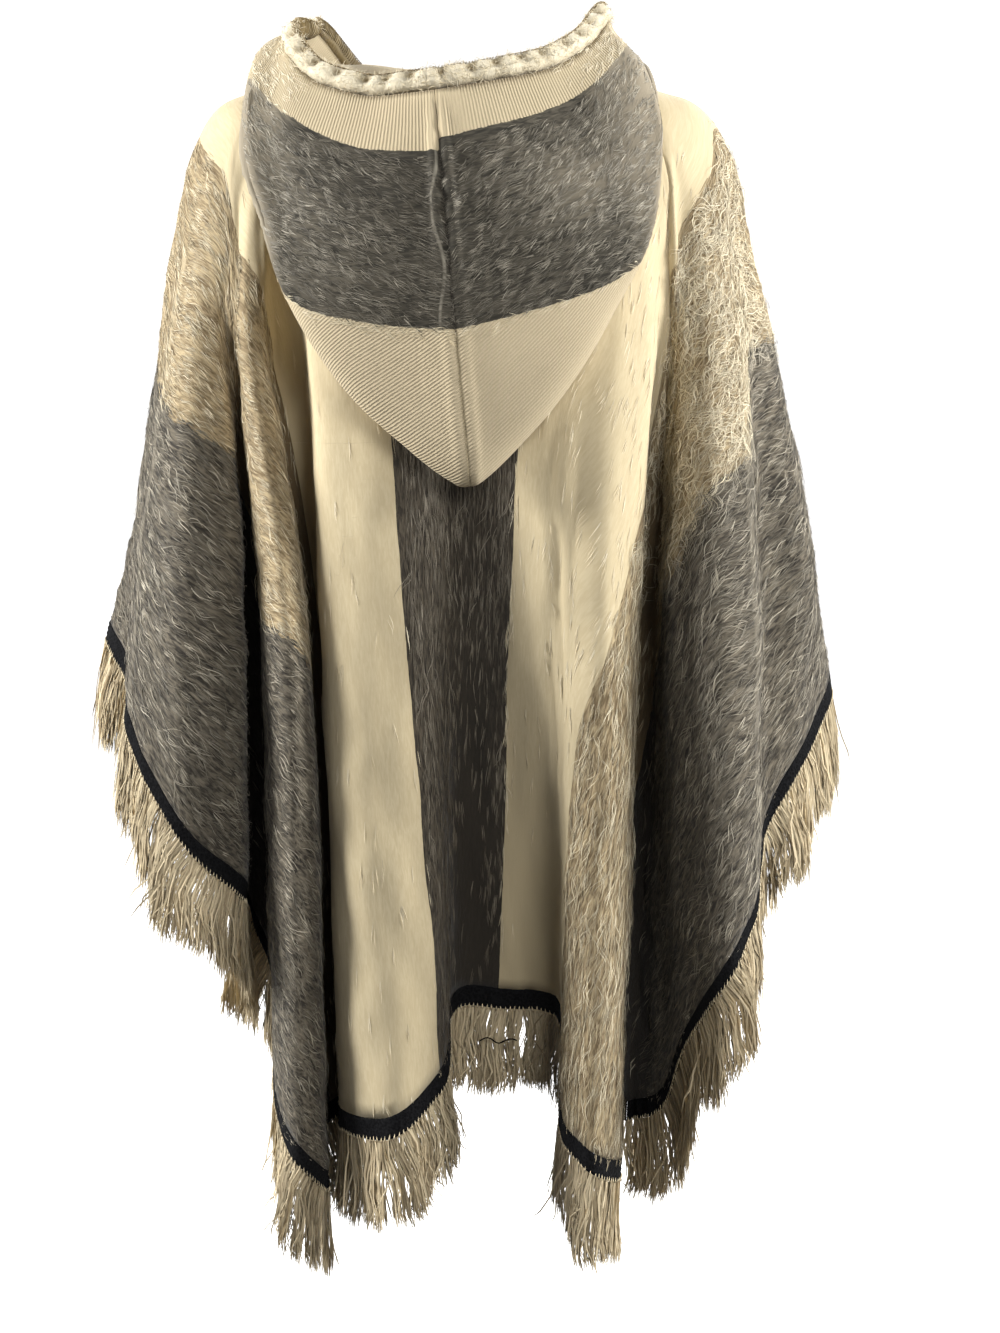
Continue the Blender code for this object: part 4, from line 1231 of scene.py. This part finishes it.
def crochet_edging(side, band):
    """Black crochet: rows of rounded loops, each row half a loop along from the last."""
    down = np.linspace(0, 1, EDGING_ROWS)[:, None]
    row = np.minimum(np.floor(down * LOOP_ROWS), LOOP_ROWS - 1)
    along = band.along[None, :] / LOOP_LENGTH + row * 0.5
    loops = np.abs(np.sin(np.pi * along)) ** LOOP_FULLNESS
    loops = loops * np.abs(np.sin(np.pi * down * LOOP_ROWS)) ** LOOP_FULLNESS
    made = shell(f"crochet_{side}", band, EDGING_WALL, CROCHET, outer_extra=loops * LOOP_HEIGHT)
    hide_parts(f"edging_{side}")
    return made


def saw_stitches(name, band):
    """Overcast stitches of fringe yarn that bite into the lower edge of the crochet."""
    rng = np.random.default_rng(SEED + 40 + len(name))
    count = int(band.along[-1] / STITCH_PITCH)
    at = (np.arange(count) + 0.5) * STITCH_PITCH
    low, down, out, along = lower_edge(band, at)
    height = rng.uniform(*STITCH_HEIGHT, count)[:, None]
    lean = rng.uniform(*STITCH_LEAN, count)[:, None]
    face = out * (EDGING_WALL / 2 + LOOP_HEIGHT)
    foot_a, foot_b = (
        low + down * STITCH_FOOT[0] + along * side * STITCH_FOOT[1] + face for side in (-1, 1)
    )
    tip = low - down * height + along * lean + face + out * 0.0004
    middle = (foot_a + tip + foot_b) / 3
    points = np.stack((foot_a, tip, foot_b, middle + out * 0.0007, middle - out * 0.0004), axis=1)
    base = np.arange(count)[:, None, None] * 5
    shape = np.array(((0, 3, 1), (1, 3, 2), (2, 3, 0), (1, 4, 0), (2, 4, 1), (0, 4, 2)))
    faces = (base + shape).reshape(-1, 3)
    tone = rng.uniform(0.75, 1.15, (count, 1, 1))
    colours = np.broadcast_to(np.array(FRINGE_PALE), (count, 5, 3)) * tone
    made = piece(f"edge_stitches_{name}", points, faces, YARN, colours=colours.reshape(-1, 3))
    return made


def fringe(side, band):
    """Tassels of thin crimped yarn, knotted through the edge in small groups."""
    rng = np.random.default_rng(SEED + 60 + len(side))
    knots = int(band.along[-1] / KNOT_PITCH)
    at = (np.arange(knots) + 0.5) * KNOT_PITCH + rng.normal(0, 0.0006, knots)
    root, down, out, along = lower_edge(band, at)
    square = np.cross(out, along)       # a strand leaves its knot nearly square to the edge
    square = unit(square * np.sign((square * down).sum(axis=1))[:, None] * 0.75 + down * 0.25)
    # neighbouring knots fall together in locks of uneven width
    lock = np.floor(at / LOCK_WIDTH + 0.35 * np.sin(at * 61)).astype(int)
    locks = lock.max() + 1
    strands = knots * STRANDS
    which = np.repeat(np.arange(knots), STRANDS)
    group = lock[which]
    centre = np.zeros((locks, 3))
    members = np.bincount(lock, minlength=locks)[:, None]
    np.add.at(centre, lock, root)
    centre /= np.maximum(members, 1)
    lock_length = rng.uniform(*LOCK_LENGTH, locks)
    lock_sway = rng.normal(0, LOCK_SWAY, locks)
    lock_turn = rng.uniform(0, 2 * np.pi, locks)
    long = FRINGE_LENGTH * lock_length[group] * rng.uniform(*OWN_LENGTH, strands)
    stray = rng.random(strands) < STRAY_SHARE
    spread_along = rng.uniform(-0.5, 0.5, strands) * KNOT_PITCH * 1.1
    spread_out = rng.uniform(-0.5, 0.5, strands) * FRINGE_DEPTH
    here = root[which] + along[which] * spread_along[:, None] + out[which] * spread_out[:, None]
    here = here + down[which] * 0.0002
    drift = np.where(stray, *(rng.normal(0, spread, strands) for spread in DRIFT))
    drift = drift + lock_sway[group]
    lean_out = rng.normal(0.02, 0.05, strands) + np.where(stray, rng.normal(0, 0.16, strands), 0)
    gather = np.where(stray, 0.0, rng.uniform(*GATHER, strands))
    phase = lock_turn[group] + rng.normal(0, 0.9, strands)
    wavy = np.where(stray, 2.2, 1.0) * rng.uniform(0.4, 1.3, strands)
    steps = FRINGE_STEPS
    paths = np.empty((strands, steps, 3))
    paths[:, 0] = here
    level = unit(along * (1, 1, 0))[which]
    outward = unit(out * (1, 1, 0))[which]
    for step in range(1, steps):
        share = step / (steps - 1)
        hang = min(1.0, 0.06 + share)       # square to the edge at the knot, and soon straight down
        way = unit(square[which] * (1 - hang) + np.array((0, 0, -hang)))
        wave = np.sin(phase + share * 8.5) * WAVE * wavy
        way = way + level * (drift * share + wave)[:, None] + outward * (lean_out * share)[:, None]
        pull = (centre[group] - here) * (1, 1, 0)
        way = way + pull * (gather * 7.0)[:, None]
        here = here + unit(way) * (long / (steps - 1))[:, None]
        paths[:, step] = here
    lowest, highest = np.array(cad_box)
    paths = np.clip(paths, lowest - STRAY_REACH, highest + STRAY_REACH)
    radius = rng.uniform(*STRAND_RADIUS, strands)
    thin = np.interp(np.linspace(0, 1, steps), *STRAND_TAPER)
    # each strand is a flat ribbon that faces out, more or less
    face = out[which] + rng.normal(0, 0.45, (strands, 3))
    sides = unit(np.cross(unit(np.gradient(paths, axis=1)), face[:, None]))
    sides = sides * (radius[:, None] * thin[None, :])[..., None]
    pale = rng.beta(1.6, 1.6, strands)
    colours = mixed(np.array((FRINGE_DARK, FRINGE_PALE)), pale)
    colours = colours * (1 + 0.10 * np.sin(lock_turn[group]))[:, None]
    # painted shade: the strands that hang behind the others are darker
    inner = np.clip(0.5 - spread_out / FRINGE_DEPTH, 0, 1)      # those behind are darker
    colours = colours * (1.05 - 0.25 * inner)[:, None]
    points, faces, dyes = ribbons(paths, sides, np.repeat(colours[:, None], steps, axis=1))
    made = piece(f"tassels_{side}", points, faces, YARN, colours=dyes)
    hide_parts(f"fringe_{side}")
    return made


def loose_thread(band):
    """One dark thread end left hanging in the fringe behind."""
    at = np.linspace(0, 1, THREAD_POINTS)[:, None]
    nearest = np.abs(band.points[-1] - np.array(THREAD_PLACE)).sum(axis=1).argmin()
    start = band.points[-1][nearest] + THREAD_DROP
    path = start + at * THREAD_RUN + np.sin(at * (7, 5, 9)) * (0.001, 0.002, 0.0025)
    points, faces = rods(path[None], np.full((1, THREAD_POINTS), THREAD_END_RADIUS))
    made = piece("loose_thread", points, faces, CROCHET)
    return made


def rods(paths, radius):
    """Three-sided rods along paths (count, steps, 3), closed at both ends."""
    count, steps = paths.shape[:2]
    along = unit(np.gradient(paths, axis=1))
    side = unit(np.cross(along, np.array((0.31, 0.83, 0.46))))
    other = np.cross(along, side)
    rings = []
    for corner in range(3):
        angle = 2 * math.pi * corner / 3
        away = side * math.cos(angle) + other * math.sin(angle)
        rings.append(paths + away * radius[..., None])
    points = np.stack(rings, axis=2).reshape(-1, 3)
    base = (np.arange(count)[:, None] * steps + np.arange(steps - 1)[None, :]).reshape(-1) * 3
    faces = []
    for corner in range(3):
        after = (corner + 1) % 3
        a, b, c, d = base + corner, base + after, base + 3 + after, base + 3 + corner
        faces += [np.stack((a, b, c), axis=1), np.stack((a, c, d), axis=1)]
    first = np.arange(count) * steps * 3
    last = first + (steps - 1) * 3
    faces.append(np.stack((first, first + 2, first + 1), axis=1))
    faces.append(np.stack((last, last + 1, last + 2), axis=1))
    return points, np.concatenate(faces)


# ---------------------------------------------------------------- hood, rim and seam


def inside_band(surface):
    """How far inside the hood's charcoal stripe each point lies, in metres."""
    down, top, bottom = surface.band
    return np.minimum(down - top[None, :], bottom[None, :] - down)


def pucker(surface):
    """Raises and gathers a hood panel along the middle seam."""
    away = abs(surface.flat[..., 0])
    down = surface.flat[..., 1]
    near = bell(away - SEAM_ROLL, SEAM_ROLL_WIDTH)
    gather = bell(down - GATHER_PLACE, GATHER_LENGTH)
    ripple = np.sin(2 * np.pi * down / RIPPLE + 2.0 * np.sin(down * 47) + surface.side)
    groove = bell(away, 0.0016) * 0.0012
    height = near * (0.0009 + 0.0034 * gather) * (1 + 0.45 * ripple) - groove
    wide = bell(away, 0.030) * gather * 0.0016 * np.sin(2 * np.pi * down / 0.047 + 0.6)
    soft = sum(
        tall * np.sin(2 * np.pi * (a * surface.flat[..., 0] + b * down) + phase)
        for a, b, phase, tall in HOOD_COCKLE
    )
    fade = np.clip(down / 0.02, 0, 1) * np.clip((0.40 - down) / 0.1, 0, 1)
    surface.raise_by((height + wide + soft * np.clip(away / 0.02, 0, 1)) * fade)


def hood_panel(side, surface):
    """One half of the hood, as a closed sheet."""
    made = shell(
        f"hood_panel_{side}", surface, HOOD_WALL, HOOD_CLOTH,
        values={"band": inside_band(surface), "pale": hood_sheen_and_shade(surface.flat)},
    )
    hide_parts(f"hood_{side}")
    return made


def rim_line(left, right):
    """The middle of the rolled rim, and the way it stands up from the hood's edge."""
    edge = np.vstack((left.points[0], right.points[0, 1:]))
    below = np.vstack((left.points[4], right.points[4, 1:]))
    rise = unit(edge - below)
    line = edge + rise * (RIM_HEIGHT / 2 + RIM_GAP)
    along = run_of(line)
    places = np.linspace(RIM_END, along[-1] - RIM_END, int(along[-1] / RIM_STEP) + 1)
    line, rise = between(places, along, line), between(places, along, rise)
    for _ in range(12):
        rise[1:-1] = (rise[:-2] + 2 * rise[1:-1] + rise[2:]) / 4
    return line, unit(rise), places


def hood_rim(left, right):
    """A soft roll, pinched at even steps by overcast stitches."""
    rng = np.random.default_rng(SEED + 90)
    line, rise, places = rim_line(left, right)
    along = unit(np.gradient(line, axis=0))
    through = unit(np.cross(along, rise))
    rise = np.cross(through, along)
    angle = 2 * np.pi * np.arange(RIM_SIDES) / RIM_SIDES
    pinches = np.arange(0.5, places[-1] / PUFF_LENGTH) * PUFF_LENGTH
    pinches = pinches + rng.normal(0, PINCH_STRAY, len(pinches))
    level = rng.normal(*PINCH_LEVEL, len(pinches))
    off = places[:, None] - pinches[None, :]
    nearest = np.abs(off).argmin(axis=1)
    gap = off[np.arange(len(places)), nearest][:, None]
    high = np.sin(angle)[None, :] - level[nearest][:, None]
    front = np.clip(np.cos(angle), 0, 1)[None, :]
    hollow = np.exp(-(gap / PINCH_WIDTH) ** 2 - (high / PINCH_HEIGHT) ** 2) * front
    fan = bell(gap, 0.0085) * np.clip(high + 0.15, 0, 1) * front
    folds = fan * (0.5 + 0.5 * np.sin(gap / 0.00085 + 9 * high))    # fine folds above each pinch
    waist = bell(gap, 0.0065)
    swell = 1.10 - 0.20 * waist
    half = len(places) // 2
    tip = places[line[:half, 2].argmax()]       # the roll is drawn thin where it turns on the left
    slim = 1 - 0.45 * bell(places - tip, 0.020)[:, None]
    wide = (RIM_DEPTH / 2 * swell - hollow * PINCH_DEPTH - folds * 0.0010) * slim
    tall = RIM_HEIGHT / 2 * (1.02 - 0.09 * waist) * slim
    up, out = np.sin(angle)[None, :, None], np.cos(angle)[None, :, None]
    rise, through = rise[:, None], through[:, None]
    points = line[:, None] + rise * (up * tall[..., None]) + through * (out * wide[..., None])
    count = len(line)
    index = np.arange(count * RIM_SIDES).reshape(count, RIM_SIDES)
    ends = np.vstack((line[:1], line[-1:]))
    points = np.concatenate((points.reshape(-1, 3), ends))
    caps = []
    for end, order in ((0, 1), (-1, -1)):
        ring, middle = index[end].tolist(), count * RIM_SIDES - end
        caps += [(ring[i], ring[(i + 1) % RIM_SIDES], middle)[::order] for i in range(RIM_SIDES)]
    flat = np.stack(
        (np.broadcast_to(places[:, None], (count, RIM_SIDES)),
         np.broadcast_to(angle[None, :] * RIM_HEIGHT / 2, (count, RIM_SIDES))), axis=-1,
    ).reshape(-1, 2)
    flat = np.concatenate((flat, flat[:1], flat[-1:]))
    # painted shade in the pinches, on the inner side and underneath; the fine folds above each
    # pinch darken too, partly as the stitches' streaks and partly as painted shade
    behind = np.clip(0.25 - np.cos(angle) * 1.6, 0, 0.85)[None, :]
    below = bell(np.sin(angle) + 1, 0.22)[None, :] * 0.45
    shade = np.clip(hollow * 1.05 + folds * 0.8 + behind + below, 0, 1)
    shade = np.concatenate((shade.ravel(), (0, 0)))
    made = piece(
        "rolled_hood_rim", points, quads(count, RIM_SIDES, True).tolist() + caps, RIM, flat,
        values={"pinch": shade},
    )
    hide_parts("hood_rim")
    overcast(line, rise[:, 0], through[:, 0], places, slim)
    away = rise * up + through * out
    rim_fuzz(points[:-2].reshape(count, RIM_SIDES, 3), away, behind[0] < 0.3)


def rim_fuzz(grid, away, shown):
    """Short soft hair that stands off the rolled rim."""
    rng = np.random.default_rng(SEED + 92)
    row = rng.integers(0, len(grid), RIM_HAIRS)
    start, away = (
        values[row, rng.choice(np.flatnonzero(shown), RIM_HAIRS)] for values in (grid, away)
    )
    way = unit(np.cross(away, rng.normal(size=(RIM_HAIRS, 3))))
    at = np.linspace(0, 1, FUZZ_POINTS)[None, :, None]
    long = rng.uniform(*FUZZ_LENGTH, RIM_HAIRS)[:, None, None]
    paths = start[:, None] + way[:, None] * long * at
    paths = paths + away[:, None] * long * FUZZ_LIFT * np.sin(at * 2.4)
    sides = np.cross(way, away)[:, None] * np.array(FUZZ_TAPER)[None, :, None] * FUZZ_WIDTH
    cream = np.array(YARNS["cream"][:3])[:, None]
    pale = mixed((cream[0], cream[2]), rng.random(RIM_HAIRS))
    points, faces, dyes = ribbons(paths, sides, np.repeat(pale[:, None], FUZZ_POINTS, axis=1))
    piece("rim_fuzz", points, faces, NAP, colours=dyes)


def overcast(line, rise, through, places, slim):
    """Dark gold yarn whipped over the top edge of the rim."""
    rng = np.random.default_rng(SEED + 91)
    count = int(places[-1] / OVERCAST_PITCH)
    at = (np.arange(count) + 0.5) * OVERCAST_PITCH
    centre, up, out = (between(at, places, values) for values in (line, rise, through))
    up, out = unit(up), unit(out)
    along = unit(np.gradient(centre, axis=0))
    reach = rng.uniform(*OVERCAST_REACH, count)
    angles = np.linspace(0, 1, OVERCAST_STEPS)[None, :] * (reach + OVERCAST_BEHIND)[:, None]
    angles = angles + 0.5 * np.pi - reach[:, None]
    lean = np.linspace(-0.5, 0.5, OVERCAST_STEPS)[None, :, None] * OVERCAST_PITCH * OVERCAST_LEAN
    slim = np.interp(at, places, slim[:, 0])[:, None, None]
    tall, wide = slim * RIM_HEIGHT / 2 + THREAD_LIFT, slim * RIM_DEPTH / 2 * 1.08 + THREAD_LIFT
    paths = (
        centre[:, None]
        + up[:, None] * np.sin(angles)[..., None] * tall
        + out[:, None] * np.cos(angles)[..., None] * wide
        + along[:, None] * lean
    )
    points, faces = rods(paths, np.full((count, OVERCAST_STEPS), THREAD_RADIUS))
    tone = rng.uniform(0.7, 1.2, (count, 1))
    colours = np.array(GOLD)[None, :] * tone
    dyes = np.repeat(colours, OVERCAST_STEPS * 3, axis=0)
    made = piece("rim_stitches", points, faces, YARN, colours=dyes)


def hood_yarns(surface, column, row):
    """The yarn of each hair of the hood: charcoal within the stripe, cream outside it."""
    share = surface.look_up(inside_band(surface)[..., None], column, row)[:, 0]
    return ["hood_grey" if s > 0.0 else "cream" for s in share]


def hood_heading(flat):
    """How far the hood's nap is turned: up and out by the seam, down and out at the sides."""
    return np.radians(70 - 150 * np.minimum(abs(flat[:, 0]), 0.2))


def turned_in(flat):
    """How much of the hood's side, where it turns in towards the front, a place belongs to."""
    return np.clip((abs(flat[..., 0]) - HOOD_SIDE) / SIDE_FADE, 0, 1)


def hood_sheen_and_shade(flat):
    """Painted sheen on the nap at the hood's sides and in soft patches, and painted shade in
    darker patches and by the seam.
    """
    across, down = flat[..., 0], flat[..., 1]
    pale = 0.9 * turned_in(flat) - 0.12 * bell(across, 0.038)
    for x, y, width, height, share in HOOD_PATCHES:
        pale = pale + share * np.exp(-((across - x) / width) ** 2 - ((down - y) / height) ** 2)
    return pale


# ---------------------------------------------------------------- setting


def soft_light(name, size, power, place, aim):
    """A round lamp, turned towards `aim`."""
    light = bpy.data.lights.new(name, "AREA")
    light.shape, light.size, light.energy = "DISK", size, power
    obj = bpy.data.objects.new(name, light)
    bpy.context.scene.collection.objects.link(obj)
    obj.location = place
    obj.rotation_euler = (Vector(aim) - Vector(place)).to_track_quat("-Z", "Y").to_euler()


def studio():
    """A pale floor that curves up all round, soft lights, and the camera."""
    bpy.ops.object.select_all(action="DESELECT")
    bpy.ops.mesh.primitive_circle_add(
        vertices=96, radius=FLOOR_RADIUS, fill_type="NGON", location=(0, 0, FLOOR_Z)
    )
    floor = bpy.context.object
    floor.name = "pale_floor"
    bpy.ops.object.mode_set(mode="EDIT")
    for out, up in FLOOR_CURVE:
        bpy.ops.mesh.extrude_region_move(TRANSFORM_OT_translate={"value": (0, 0, up)})
        bpy.ops.transform.resize(value=(out, out, 1), center_override=(0, 0, 0))
    bpy.ops.mesh.select_all(action="SELECT")
    bpy.ops.mesh.normals_make_consistent(inside=True)
    bpy.ops.object.mode_set(mode="OBJECT")
    bpy.ops.object.shade_smooth()
    floor.data.materials.append(PAPER)
    floor.visible_diffuse = False       # the cloth's shade comes from the room light alone
    for light in LIGHTS:
        soft_light(*light)
    world = bpy.data.worlds.new("pale_room")
    world.use_nodes = True
    world.node_tree.nodes["Background"].inputs["Color"].default_value = (1, 1, 1, 1)
    world.node_tree.nodes["Background"].inputs["Strength"].default_value = WORLD_LIGHT
    scene = bpy.context.scene
    scene.world = world
    scene.view_settings.view_transform = "Standard"
    camera = bpy.data.cameras.new("camera")
    camera.lens, camera.sensor_fit, camera.sensor_height = LENS, "VERTICAL", 36
    eye = bpy.data.objects.new("camera", camera)
    scene.collection.objects.link(eye)
    eye.location = CAMERA_PLACE
    aim = Vector(CAMERA_AIM) - Vector(CAMERA_PLACE)
    eye.rotation_euler = aim.to_track_quat("-Z", "Y").to_euler()
    scene.camera = eye


# ---------------------------------------------------------------- the poncho

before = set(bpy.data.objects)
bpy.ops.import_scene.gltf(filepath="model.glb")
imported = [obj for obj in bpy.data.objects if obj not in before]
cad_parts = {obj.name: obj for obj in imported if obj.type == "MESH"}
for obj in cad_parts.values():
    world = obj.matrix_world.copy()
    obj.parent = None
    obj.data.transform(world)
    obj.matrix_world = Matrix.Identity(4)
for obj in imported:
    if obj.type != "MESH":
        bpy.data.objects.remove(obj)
cad_box = [list(corner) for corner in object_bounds()]
bpy.ops.object.select_all(action="DESELECT")

CLOTH, HOOD_CLOTH = striped_cloth(), hood_cloth()
CROCHET, RIM, PAPER = crochet_black(), rolled_rim(), plain_paper()
YARN, NAP = yarn_finish("fringe_yarn", 0.75, 0.08), yarn_finish("loose_nap", 0.65, 0.06)

body = body_surface()
trimmed_body = trimmed(body)
# the hollow weight carries painted shade into the cloth's folds
cloth = shell("poncho_cloth", trimmed_body, WALL, CLOTH, values={
    "hollow": hollows(trimmed_body.points), "ridge": ridge_distance(trimmed_body.points),
})
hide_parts(*(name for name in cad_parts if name.startswith("body_")))

with_cloth = []
edge_band = hem_strip(body, EDGING_ROWS)
corners = [fine_column(name) for name in BACK_CORNERS + FRONT_CORNERS]
for number, side in enumerate(("back", "right", "front", "left")):
    first, last = corners[number], corners[(number + 1) % 4]
    band = side_strip(edge_band, first, last)
    with_cloth += [crochet_edging(side, band), saw_stitches(side, band), fringe(side, band)]

with_cloth.append(loose_thread(edge_band))

body.room = lengths_down(body.points)[-1] - lengths_down(body.points) - EDGING_WIDTH
across, along = body.flat[..., 0], body.flat[..., 1]
shown = np.clip((lengths_down(body.points) - BARE_YOKE) / YOKE_FADE, 0, 1)
crest = np.clip(-fold_depth(body.points) / CREST_HEIGHT, 0, 1)
ridge = bell(ridge_distance(body.points), RIDGE_WIDTH)
grey_or_tan, charcoal = abs(across) > TAN_FROM, abs(across) < CREAM_FROM
right_side, left_side = across > TAN_FROM, across < -TAN_FROM
right_shoulder = (across > 0.12) & (along < 0.55)
# painted shade: fewer hairs in the fold hollows, so the dark ground shows there
cover = shown * (body.room > EDGE_ROOM) * (1 - HOLLOW_LOSS * hollows(body.points)) * np.select(
    [grey_or_tan, charcoal, right_shoulder], NAP_WEIGHTS, CREAM_WEIGHT
)
# painted highlight, partly real loose hair: the long pale hairs are laid thickest on crests and
# sharp folds
long_cover = cover * (body.room > LONG_ROOM) * (along > 0) * (1 + 2 * crest + 3 * ridge)
long_cover = long_cover * np.select(
    [right_side, left_side, charcoal], LONG_WEIGHTS, LONG_ON_CREAM
)
over_elbow = np.clip((body.points[..., 2] - CURLY_ABOVE) / CURLY_FADE, 0, 1)
covers = (
    cover * ((along > 0) & (across < -NAP_PARTS)),
    cover * ((along > 0) & (abs(across) <= NAP_PARTS)),
    cover * ((along > 0) & (across > NAP_PARTS)),
    cover * (along <= 0),
    long_cover,
    cover * right_side * (across < CURLY_TO) * over_elbow * (along > 0),
)
for seed, (weight, (name, *look)) in enumerate(zip(covers, NAPS), 1):
    made = brush(name, body, weight, seed, *look)
    with_cloth.append(made)

tree = body_tree(body_grid(FRAME_STEPS_ROUND, FRAME_ROWS))
left, right = hood_surface(HOOD_LEFT, -1, tree), hood_surface(HOOD_RIGHT, 1, tree)
for panel in (left, right):
    pucker(panel)
for side, panel, seed in (("left", left, 20), ("right", right, 21)):
    made = hood_panel(side, panel)
    out_face = np.clip((NAP_DOWN_TO - panel.flat[..., 1]) / NAP_FADE, 0, 1)
    inside = inside_band(panel)
    stray = STRAY_NAP * turned_in(panel.flat) * (inside < 0)
    weight = (np.clip(inside / BAND_FADE, 0, 1) + stray) * out_face
    # painted sheen and shade: the hood's hairs are paler at its sides and in pale patches, darker
    # by the seam
    nap = brush(
        f"nap_hood_{side}", panel, weight, seed, hood_sheen_and_shade, *HOOD_NAP, outside=HOOD_WALL / 2,
        yarns=hood_yarns, heading=lambda flat: -panel.side * hood_heading(flat),
    )
hood_rim(left, right)

studio()
